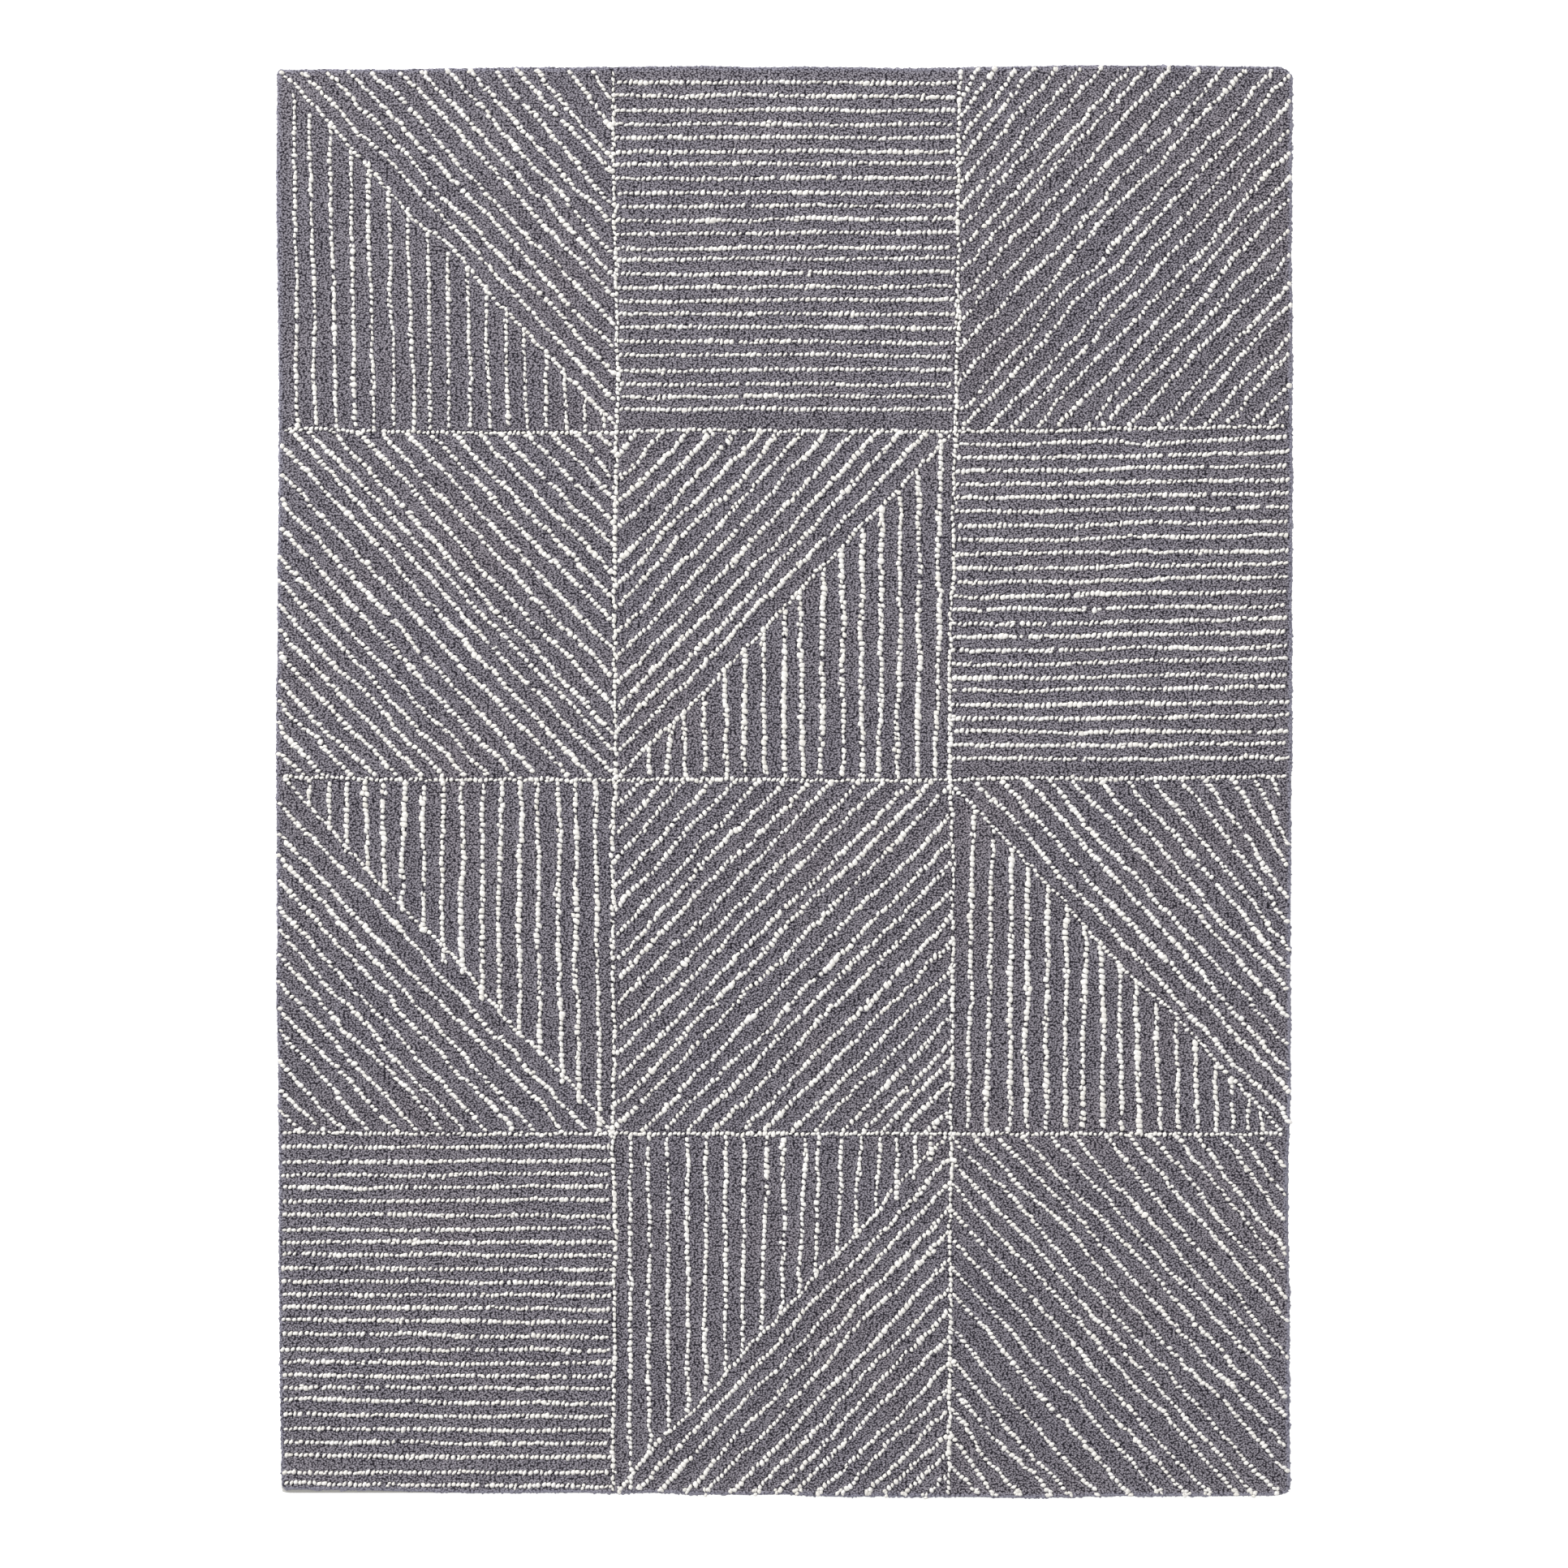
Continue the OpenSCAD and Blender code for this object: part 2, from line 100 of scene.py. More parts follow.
# Every row of loops: x and y of its start, x and y of its end. d is a slanting row, v runs along the rug, h across.
ROW_ENDS = {
    "r1c1": [
        ("d", [
            (-843, 1189, -293, 606), (-807, 1189, -293, 650), (-766, 1189, -293, 691), (-728, 1189, -293, 732), (-690, 1189, -293, 773),
            (-641, 1189, -293, 820), (-607, 1189, -293, 855), (-562, 1189, -293, 895), (-524, 1189, -293, 936), (-479, 1189, -293, 970),
            (-442, 1189, -293, 1025), (-410, 1189, -293, 1052), (-361, 1189, -293, 1100), (-318, 1189, -293, 1148),
        ]),
        ("v", [
            (-825, 1149, -818, 597), (-798, 1115, -787, 597), (-764, 1095, -754, 597), (-729, 1054, -723, 597), (-699, 1033, -691, 597),
            (-665, 992, -657, 597), (-633, 958, -624, 597), (-601, 917, -596, 597), (-567, 883, -563, 597), (-534, 856, -528, 597),
            (-503, 829, -496, 597), (-469, 788, -464, 597), (-438, 754, -431, 597), (-401, 720, -401, 597), (-371, 692, -365, 597),
            (-335, 645, -334, 597), (-304, 612, -303, 597),
        ]),
    ],
    "r1c2": [
        ("h", [
            (-277, 1175, 278, 1174), (-277, 1153, 278, 1149), (-277, 1127, 278, 1127), (-277, 1104, 278, 1104), (-277, 1082, 278, 1082),
            (-277, 1058, 278, 1059), (-277, 1036, 278, 1039), (-277, 1013, 278, 1015), (-277, 988, 278, 990), (-277, 965, 278, 968),
            (-277, 942, 278, 946), (-277, 919, 278, 923), (-277, 895, 278, 898), (-277, 876, 278, 879), (-277, 853, 278, 855),
            (-277, 830, 278, 831), (-277, 807, 278, 810), (-277, 785, 278, 785), (-277, 763, 278, 762), (-277, 740, 278, 737),
            (-277, 717, 278, 714), (-277, 690, 278, 691), (-277, 668, 278, 666), (-277, 646, 278, 646), (-277, 626, 278, 624),
        ]),
    ],
    "r1c3": [
        ("d", [
            (322, 1189, 296, 1148), (349, 1189, 297, 1120), (383, 1189, 296, 1073), (413, 1189, 295, 1032), (447, 1189, 295, 998),
            (487, 1189, 295, 964), (525, 1189, 300, 936), (569, 1189, 293, 895), (600, 1189, 293, 855), (637, 1189, 293, 807),
            (689, 1189, 295, 773), (731, 1189, 296, 725), (766, 1189, 293, 671), (813, 1189, 295, 623), (834, 1168, 307, 602),
            (833, 1127, 353, 602), (840, 1086, 390, 602), (837, 1045, 430, 602), (832, 998, 466, 602), (829, 957, 509, 602),
            (839, 916, 540, 602), (825, 861, 581, 602), (825, 814, 626, 602), (825, 773, 667, 602), (839, 739, 709, 602),
            (830, 698, 743, 602), (839, 657, 785, 602), (840, 623, 818, 602),
        ]),
    ],
    "r2c1": [
        ("d", [
            (-837, 36, -814, 17), (-837, 83, -780, 15), (-837, 124, -732, 15), (-839, 159, -697, 15), (-839, 206, -656, 15),
            (-836, 246, -615, 15), (-837, 287, -581, 15), (-839, 328, -544, 15), (-839, 368, -507, 15), (-839, 417, -464, 15),
            (-837, 465, -424, 15), (-839, 508, -372, 15), (-839, 559, -334, 15), (-821, 581, -297, 21), (-791, 581, -293, 56),
            (-753, 581, -300, 96), (-713, 581, -293, 131), (-675, 581, -293, 178), (-631, 581, -293, 226), (-592, 581, -295, 274),
            (-552, 581, -296, 315), (-509, 581, -296, 356), (-474, 581, -296, 403), (-430, 581, -296, 444), (-387, 581, -296, 485),
            (-346, 581, -296, 519), (-310, 581, -286, 553),
        ]),
    ],
    "r2c2": [
        ("d", [
            (-250, 581, -274, 553), (-209, 581, -274, 512), (-169, 581, -274, 476), (-128, 581, -274, 433), (-89, 581, -274, 379),
            (-44, 581, -274, 339), (-8, 581, -274, 300), (30, 581, -274, 255), (68, 581, -274, 216), (113, 581, -274, 174),
            (154, 581, -274, 131), (192, 581, -274, 90), (233, 581, -274, 54), (277, 581, -274, 12),
        ]),
        ("v", [
            (-228, 50, -228, 15), (-191, 88, -198, 15), (-168, 113, -168, 15), (-136, 144, -134, 15), (-101, 181, -97, 15),
            (-67, 216, -67, 15), (-34, 251, -33, 15), (-1, 283, 1, 15), (26, 312, 31, 15), (65, 353, 60, 15),
            (95, 384, 98, 15), (130, 420, 130, 15), (161, 451, 158, 15), (192, 484, 190, 15), (224, 516, 224, 15),
            (262, 556, 252, 15),
        ]),
    ],
    "r2c3": [
        ("h", [
            (290, 567, 840, 578), (290, 544, 840, 555), (290, 521, 840, 531), (290, 499, 840, 507), (290, 477, 840, 485),
            (290, 454, 840, 461), (290, 429, 840, 437), (290, 405, 840, 413), (290, 381, 840, 389), (290, 358, 840, 367),
            (290, 335, 840, 345), (290, 311, 840, 319), (290, 290, 840, 298), (290, 266, 840, 275), (290, 243, 840, 252),
            (290, 220, 840, 228), (290, 197, 840, 207), (290, 174, 840, 180), (290, 153, 840, 160), (290, 129, 840, 133),
            (290, 106, 840, 112), (290, 84, 840, 85), (290, 62, 840, 64), (290, 39, 840, 38),
        ]),
    ],
    "r3c1": [
        ("d", [
            (-836, -565, -817, -584), (-836, -529, -780, -584), (-836, -480, -739, -584), (-836, -431, -702, -584), (-836, -392, -654, -584),
            (-836, -351, -622, -584), (-836, -304, -577, -584), (-836, -263, -544, -584), (-836, -224, -504, -584), (-836, -180, -461, -584),
            (-836, -138, -424, -584), (-836, -100, -379, -584), (-836, -52, -337, -584), (-836, 1, -295, -584),
        ]),
        ("v", [
            (-798, -4, -798, -37), (-764, -4, -764, -75), (-736, -4, -735, -112), (-704, -4, -702, -153), (-674, -4, -672, -180),
            (-639, -4, -644, -214), (-607, -4, -608, -253), (-573, -4, -574, -303), (-543, -4, -541, -321), (-506, -4, -510, -358),
            (-476, -4, -479, -385), (-445, -4, -447, -419), (-416, -4, -412, -457), (-382, -4, -374, -501), (-352, -4, -346, -531),
            (-319, -4, -312, -569),
        ]),
    ],
    "r3c2": [
        ("d", [
            (-245, -4, -273, -32), (-209, -4, -271, -73), (-170, -4, -273, -120), (-127, -4, -271, -161), (-86, -4, -273, -202),
            (-45, -4, -274, -250), (-4, -4, -277, -291), (38, -4, -277, -325), (74, -4, -277, -373), (123, -4, -274, -413),
            (162, -4, -273, -448), (210, -4, -275, -495), (243, -4, -277, -536), (274, -11, -275, -570), (277, -59, -237, -584),
            (273, -107, -199, -584), (277, -141, -161, -584), (274, -189, -119, -584), (274, -229, -68, -584), (277, -270, -30, -584),
            (273, -318, 16, -584), (273, -359, 56, -584), (274, -400, 101, -584), (277, -441, 135, -584), (275, -468, 168, -584),
            (275, -509, 205, -584), (274, -557, 243, -584),
        ]),
    ],
    "r3c3": [
        ("d", [
            (290, -14, 832, -584), (325, -4, 832, -557), (368, -4, 832, -509), (409, -4, 832, -468), (451, -4, 832, -427),
            (489, -4, 832, -379), (533, -4, 832, -338), (582, -4, 832, -298), (627, -4, 832, -265), (674, -4, 832, -216),
            (713, -4, 832, -175), (755, -4, 832, -120), (792, -4, 832, -79), (821, -4, 832, -32),
        ]),
        ("v", [
            (318, -54, 307, -584), (350, -88, 340, -584), (382, -122, 376, -584), (409, -150, 406, -584), (443, -186, 439, -584),
            (473, -217, 470, -584), (504, -250, 500, -584), (532, -278, 536, -584), (562, -311, 566, -584), (590, -341, 597, -584),
            (624, -377, 630, -584), (657, -411, 661, -584), (690, -445, 694, -584), (725, -483, 723, -584), (747, -506, 753, -584),
            (779, -539, 779, -584), (799, -561, 800, -584),
        ]),
    ],
    "r4c1": [
        ("h", [
            (-839, -614, -295, -615), (-839, -641, -295, -637), (-839, -662, -295, -660), (-839, -682, -295, -681), (-839, -706, -295, -703),
            (-839, -728, -295, -731), (-839, -754, -295, -752), (-839, -775, -295, -775), (-839, -795, -295, -797), (-839, -818, -295, -821),
            (-839, -840, -295, -843), (-839, -862, -295, -864), (-839, -883, -295, -886), (-839, -905, -295, -908), (-839, -928, -295, -933),
            (-839, -955, -295, -955), (-839, -977, -295, -976), (-839, -998, -295, -1000), (-839, -1019, -295, -1020), (-839, -1040, -295, -1045),
            (-839, -1063, -295, -1067), (-839, -1088, -295, -1090), (-839, -1112, -295, -1113), (-839, -1132, -295, -1136), (-839, -1161, -295, -1161),
            (-839, -1180, -295, -1185),
        ]),
    ],
    "r4c2": [
        ("d", [
            (273, -593, -275, -1187), (273, -637, -241, -1187), (273, -678, -203, -1187), (273, -718, -161, -1187), (273, -758, -128, -1187),
            (273, -805, -80, -1187), (273, -854, -45, -1187), (273, -891, -7, -1187), (273, -934, 27, -1187), (273, -979, 64, -1187),
            (273, -1022, 104, -1187), (273, -1060, 147, -1187), (273, -1098, 180, -1187), (273, -1128, 211, -1187), (273, -1163, 247, -1187),
        ]),
        ("v", [
            (-260, -600, -260, -1162), (-229, -600, -230, -1132), (-199, -600, -195, -1087), (-165, -600, -164, -1060), (-132, -600, -134, -1039),
            (-98, -600, -101, -992), (-67, -600, -72, -958), (-29, -600, -40, -923), (-3, -600, -5, -896), (34, -600, 23, -855),
            (57, -600, 53, -828), (94, -600, 90, -790), (128, -600, 120, -760), (160, -600, 154, -726), (188, -600, 188, -698),
            (220, -600, 217, -664), (244, -600, 245, -637),
        ]),
    ],
    "r4c3": [
        ("d", [
            (293, -1166, 312, -1187), (296, -1118, 346, -1187), (293, -1071, 385, -1187), (296, -1030, 434, -1187), (295, -989, 470, -1187),
            (293, -934, 517, -1187), (293, -873, 573, -1187), (295, -832, 622, -1187), (297, -784, 665, -1187), (296, -737, 702, -1187),
            (299, -696, 747, -1187), (293, -648, 781, -1187), (299, -614, 821, -1187), (322, -600, 837, -1152), (363, -600, 824, -1098),
            (402, -600, 829, -1057), (451, -600, 830, -1023), (491, -600, 815, -968), (543, -600, 839, -962), (581, -600, 841, -907),
            (616, -600, 829, -853), (659, -600, 833, -812), (695, -600, 824, -771), (736, -600, 834, -730), (768, -600, 825, -675),
            (799, -600, 826, -634),
        ]),
    ],
}
# How the rows of a panel are tufted: loop spacing, loop length, loop width, lean of a loop off its row in degrees, wander
# of the row, unevenness of the spacing.
STITCH = {
    ("r1c1", "d"): (9.0, 9.0, 7.6, 14, 2.7, 0.13), ("r1c1", "v"): (9.6, 8.3, 6.8, -8, 1.45, 0.13),
    ("r1c2", "h"): (9.0, 9.0, 6.2, 22, 0.95, 0.09), ("r1c3", "d"): (8.9, 7.9, 7.0, 20, 3.1, 0.13),
    ("r2c1", "d"): (8.7, 8.9, 8.0, 18, 2.1, 0.13), ("r2c2", "d"): (8.5, 8.2, 8.2, 12, 2.8, 0.115),
    ("r2c2", "v"): (9.0, 8.7, 8.7, -12, 1.9, 0.105), ("r2c3", "h"): (8.8, 9.1, 6.4, 22, 1.35, 0.09),
    ("r3c1", "d"): (8.8, 8.8, 7.3, 16, 2.9, 0.13), ("r3c1", "v"): (9.0, 8.7, 8.5, -10, 1.4, 0.105),
    ("r3c2", "d"): (8.7, 8.0, 7.85, 12, 2.2, 0.11), ("r3c3", "d"): (8.6, 8.6, 8.05, 18, 2.8, 0.13),
    ("r3c3", "v"): (9.1, 8.7, 8.5, -12, 1.8, 0.105), ("r4c1", "h"): (8.4, 8.4, 6.45, 26, 1.1, 0.12),
    ("r4c2", "d"): (8.5, 8.1, 7.3, 14, 2.7, 0.10), ("r4c2", "v"): (9.2, 8.1, 7.2, -8, 1.65, 0.13),
    ("r4c3", "d"): (8.6, 8.4, 6.7, 18, 2.6, 0.13),
}
# Slightly paler or greyer yarn in the rows of some panels. The slanting rows that run from the head-left towards the
# foot-right are set paler as painted light, for how the key light falls along rows of that direction.
ROW_TONE_AND_LIGHT = {("r1c1", "d"): 0.1, ("r2c1", "d"): 0.1, ("r3c1", "d"): 0.5, ("r3c3", "d"): 1.2, ("r4c3", "d"): 0.5,
        ("r4c2", "v"): 1.3, ("r2c2", "d"): -0.5, ("r2c2", "v"): -0.4, ("r3c1", "v"): -0.3, ("r2c3", "h"): 0.3}
# The panels split by a slanting row, and the index of that row, whose loops are smaller and sit lower.
DIVIDER = {"r1c1": 0, "r2c2": 13, "r3c1": 13, "r3c3": 0, "r4c2": 0}


# --------------------------------------------------------------------------
# Helpers
# --------------------------------------------------------------------------
def curve_of(points):
    a = np.array(sorted(points), float)
    grid = np.arange(a[0, 0], a[-1, 0] + 1, 4.0)
    val = np.interp(grid, a[:, 0], a[:, 1])
    kern = np.hanning(9)
    val = np.convolve(np.pad(val, 4, "edge"), kern / kern.sum(), "valid")
    return lambda q: np.interp(q, grid, val)


x_left, x_right = curve_of(LINE_LEFT), curve_of(LINE_RIGHT)
y_head, y_middle, y_foot = curve_of(LINE_HEAD), curve_of(LINE_MIDDLE), curve_of(LINE_FOOT)
e_head, e_foot = curve_of(EDGE_HEAD), curve_of(EDGE_FOOT)
e_left, e_right = curve_of(EDGE_LEFT), curve_of(EDGE_RIGHT)


def place(s, t):
    """A point of the straight-ruled rug, moved to where the hand-tufted lines and edges put it."""
    s, t = np.asarray(s, float).copy(), np.asarray(t, float).copy()
    for (cx, cy), r in CORNER.items():
        a, b = s * cx - (HALF_W - r), t * cy - (HALF_L - r)
        m = (a > 0) & (b > 0)
        big = np.maximum(a[m], b[m])
        k = np.where(big > 0, big / np.maximum(np.hypot(a[m], b[m]), 1e-9), 1.0)
        s[m] = cx * (HALF_W - r + a[m] * k)
        t[m] = cy * (HALF_L - r + b[m] * k)
    d = np.stack([e_left(t) - COLS[0], x_left(t) - COLS[1], x_right(t) - COLS[2], e_right(t) - COLS[3]])
    e = np.stack([e_foot(s) - ROWS[4], y_foot(s) - ROWS[3], y_middle(s) - ROWS[2], y_head(s) - ROWS[1],
                  e_head(s) - ROWS[0]])

    def mix(v, knots, vals):
        i = np.clip(np.searchsorted(knots, v) - 1, 0, len(knots) - 2)
        k0, k1 = np.take(knots, i), np.take(knots, i + 1)
        f = np.clip((v - k0) / (k1 - k0), 0, 1)
        j = np.arange(v.size)
        return vals[i.ravel(), j].reshape(v.shape) * (1 - f) + vals[i.ravel() + 1, j].reshape(v.shape) * f

    sx = mix(s, np.array(COLS), d.reshape(4, -1))
    ty = mix(t, np.array(ROWS[::-1]), e.reshape(5, -1))
    return s + sx, t + ty


def field(x, y, size, seed):
    """Smooth random values, about -1 to 1, that change over size millimetres."""
    rng = np.random.default_rng(seed)
    n = 256
    g = rng.normal(0, 1, (n, n))
    u, v = x / size + 1000.0, y / size + 1000.0
    i, j = np.floor(u).astype(int), np.floor(v).astype(int)
    f, h = u - i, v - j
    f, h = f * f * (3 - 2 * f), h * h * (3 - 2 * h)
    i0, i1, j0, j1 = i % n, (i + 1) % n, j % n, (j + 1) % n
    return ((g[i0, j0] * (1 - f) + g[i1, j0] * f) * (1 - h) + (g[i0, j1] * (1 - f) + g[i1, j1] * f) * h)


def wave(rng, length, step):
    """The same along a line: a function of the distance along it."""
    n = int(length / step) + 4
    g = rng.normal(0, 1, n)

    def at(t):
        u = np.clip(np.asarray(t, float) / step + 1, 0, n - 2.001)
        i = u.astype(int)
        f = u - i
        f = f * f * (3 - 2 * f)
        return g[i] * (1 - f) + g[i + 1] * f

    return at


def build(name, verts, tris, attr=None, smooth=True):
    """A mesh piece from millimetres. attr is a dict of per-vertex floats for the materials."""
    me = bpy.data.meshes.new(name)
    verts = np.ascontiguousarray(verts, np.float64) * 0.001
    tris = np.ascontiguousarray(tris, np.int32)
    me.vertices.add(len(verts))
    me.vertices.foreach_set("co", verts.astype(np.float32).ravel())
    me.loops.add(tris.size)
    me.loops.foreach_set("vertex_index", tris.ravel())
    me.polygons.add(len(tris))
    me.polygons.foreach_set("loop_start", np.arange(0, tris.size, tris.shape[1], dtype=np.int32))
    me.update(calc_edges=True)
    me.polygons.foreach_set("use_smooth", np.full(len(tris), smooth, bool))
    for k, v in (attr or {}).items():
        layer = me.attributes.new(k, "FLOAT", "POINT")
        layer.data.foreach_set("value", np.ascontiguousarray(v, np.float32))
    me.update()
    ob = bpy.data.objects.new(name, me)
    scene.collection.objects.link(ob)
    return ob


def finish_piece(ob, node, mat):
    ob.data.materials.append(mat)
    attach(ob, "root")
    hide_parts(node)
    return ob


# --------------------------------------------------------------------------
# Rows of loops: the path of every row
# --------------------------------------------------------------------------
class Path:
    """One row: a straight run with the small wander of a hand-guided tufting gun."""

    def __init__(self, a, b, wander, seed, bend=None):
        self.a = np.array(a, float)
        b = np.array(b, float)
        self.length = float(np.hypot(*(b - self.a)))
        self.u = (b - self.a) / self.length
        self.n = np.array([-self.u[1], self.u[0]])
        rng = np.random.default_rng(seed)
        w1, w2, w3 = wave(rng, self.length, 105), wave(rng, self.length, 44), wave(rng, self.length, 17)
        t = np.arange(0, self.length + 1.0, 2.0)
        x, y = self.a[0] + self.u[0] * t, self.a[1] + self.u[1] * t
        shared = field(x, y, 210, 77) * self.n[0] + field(x, y, 210, 78) * self.n[1]
        ends = np.clip(np.minimum(t, self.length - t) / 30.0, 0, 1)
        self.t = t
        self.w = wander * (0.55 * shared + 0.78 * w1(t) + 0.52 * w2(t) + 0.24 * w3(t)) * (0.25 + 0.75 * ends)
        # now and then the gun is set down again a little to one side
        q = rng.uniform(20, 130)
        while q < self.length - 12:
            jump = rng.normal(0, 1.35) * min(1.0, wander / 2.2)
            self.w = self.w + np.where(t > q, jump * np.exp(-(t - q) / 30.0), -0.25 * jump * np.exp((t - q) / 14.0))
            q += rng.uniform(45, 190)
        if bend is not None:
            self.w = self.w + bend(t / self.length)

    def at(self, t):
        w = np.interp(t, self.t, self.w)
        x = self.a[0] + self.u[0] * t + self.n[0] * w
        y = self.a[1] + self.u[1] * t + self.n[1] * w
        return x, y

    def heading(self, t):
        x0, y0 = self.at(t - 1.5)
        x1, y1 = self.at(t + 1.5)
        return np.arctan2(y1 - y0, x1 - x0)

    def lit(self, x, y):
        """How much more light the tufts beside the row catch, most on its head and left side."""
        dx, dy = x - self.a[0], y - self.a[1]
        t = dx * self.u[0] + dy * self.u[1]
        q = dx * self.n[0] + dy * self.n[1] - np.interp(t, self.t, self.w)
        out = np.zeros(x.shape)
        near = (np.abs(q) < 16) & (t > 0) & (t < self.length)
        toward = (self.n[1] - self.n[0]) / math.sqrt(2)
        out[near] = (1.7 + 1.2 * np.sign(q[near]) * toward) * np.clip((16 - np.abs(q[near])) / 8.0, 0, 1)
        return out

    def distance(self, x, y):
        """Distance from the row's line, for points near it, and 99 elsewhere."""
        dx, dy = x - self.a[0], y - self.a[1]
        t = dx * self.u[0] + dy * self.u[1]
        q = dx * self.n[0] + dy * self.n[1]
        near = (np.abs(q) < 14) & (t > -8) & (t < self.length + 8)
        out = np.full(x.shape, 99.0)
        tn = np.clip(t[near], 0, self.length)
        out[near] = np.hypot(q[near] - np.interp(tn, self.t, self.w), t[near] - tn)
        return out


class LinePath(Path):
    """One of the five long lines, along its measured run."""

    def __init__(self, along, curve, lo, hi, seed):
        self.along, self.curve, self.lo = along, curve, lo
        self.length = hi - lo
        rng = np.random.default_rng(seed)
        self.w2 = wave(rng, self.length, 26)

    def at(self, t):
        q = self.lo + t
        off = self.curve(q) + 0.35 * self.w2(t)
        return (off, q) if self.along == "y" else (q, off)


def run_on(panel, kind, x, y, ux, uy, rng):
    """How far a row runs on past its measured end, to the line, the slanting row or the edge that it meets there."""
    r, c = int(panel[1]), int(panel[3])
    ahead = []
    if abs(ux) > 0.15:
        west, east = (e_left if c == 1 else x_left if c == 2 else x_right), (x_left if c == 1 else x_right if c == 2 else e_right)
        side = "e" if c == 3 and ux > 0 else "w" if c == 1 and ux < 0 else ""
        ahead.append((((east if ux > 0 else west)(y) - x) / ux, side))
    if abs(uy) > 0.15:
        north, south = [(e_head, y_head), (y_head, y_middle), (y_middle, y_foot), (y_foot, e_foot)][r - 1]
        side = "n" if r == 1 and uy > 0 else "s" if r == 4 and uy < 0 else ""
        ahead.append((((north if uy > 0 else south)(x) - y) / uy, side))
    dist, outer = min(ahead)
    slack = rng.random()
    if dist > 45:
        # a short row that stops on the slanting row, or fades out in the pile
        return (rng.uniform(4.0, 9.0) if kind == "v" else rng.uniform(-1.0, 3.0)), ""
    if outer:
        near, far = {"s": (2.0, 5.5), "n": (3.5, 8.0)}.get(outer, (4.0, 8.0))
        return dist - rng.uniform(near, far), outer
    return dist - (rng.uniform(2.0, 4.0) if slack < 0.72 else rng.uniform(5.0, 8.5)), ""


PANELS = [f"r{r}c{c}" for r in range(1, 5) for c in range(1, 4)]
paths = {}
for pi, panel in enumerate(PANELS):
    r, c = int(panel[1]), int(panel[3])
    paths[panel] = []
    for kind, ends in ROW_ENDS[panel]:
        pitch, length, width, lean, wander, uneven = STITCH[(panel, kind)]
        for k, (x0, y0, x1, y1) in enumerate(ends):
            rng = np.random.default_rng(5000 + pi * 100 + k + (50 if kind != "d" else 0))
            # each end runs on towards the line or row that it meets, not always all the way
            dx, dy = x1 - x0, y1 - y0
            n = math.hypot(dx, dy)
            m0, edge0 = run_on(panel, kind, x0, y0, -dx / n, -dy / n, rng)
            m1, edge1 = run_on(panel, kind, x1, y1, dx / n, dy / n, rng)
            a = (x0 - dx / n * m0, y0 - dy / n * m0)
            b = (x1 + dx / n * m1, y1 + dy / n * m1)
            bend = None
            if panel == "r2c3":
                rise = y1 - y0
                bend = lambda u, rise=rise: -rise * (u - u**2.3)
            p = Path(a, b, wander, 9000 + pi * 100 + k + (50 if kind != "d" else 0), bend)
            p.pitch, p.size, p.lean, p.uneven = pitch, (length, width), lean, uneven
            p.small = 1.0
            p.tone = ROW_TONE_AND_LIGHT.get((panel, kind), 0.0)
            p.tight = 1.0 if kind == "d" else min(1.0, (width / 7.6) ** 3)
            p.edge = (edge0, edge1)
            if kind == "d" and DIVIDER.get(panel) == k:
                p.small = {"r3c3": 0.74, "r2c2": 0.9}.get(panel, 0.84)
            paths[panel].append(p)

lines = {
    "loop_line_length_left": LinePath("y", x_left, -1193, 1192, 301),
    "loop_line_length_right": LinePath("y", x_right, -1196, 1193, 302),
    "loop_line_across_head": LinePath("x", y_head, -842, 842, 303),
    "loop_line_across_middle": LinePath("x", y_middle, -842, 842, 304),
    "loop_line_across_foot": LinePath("x", y_foot, -842, 842, 305),
}


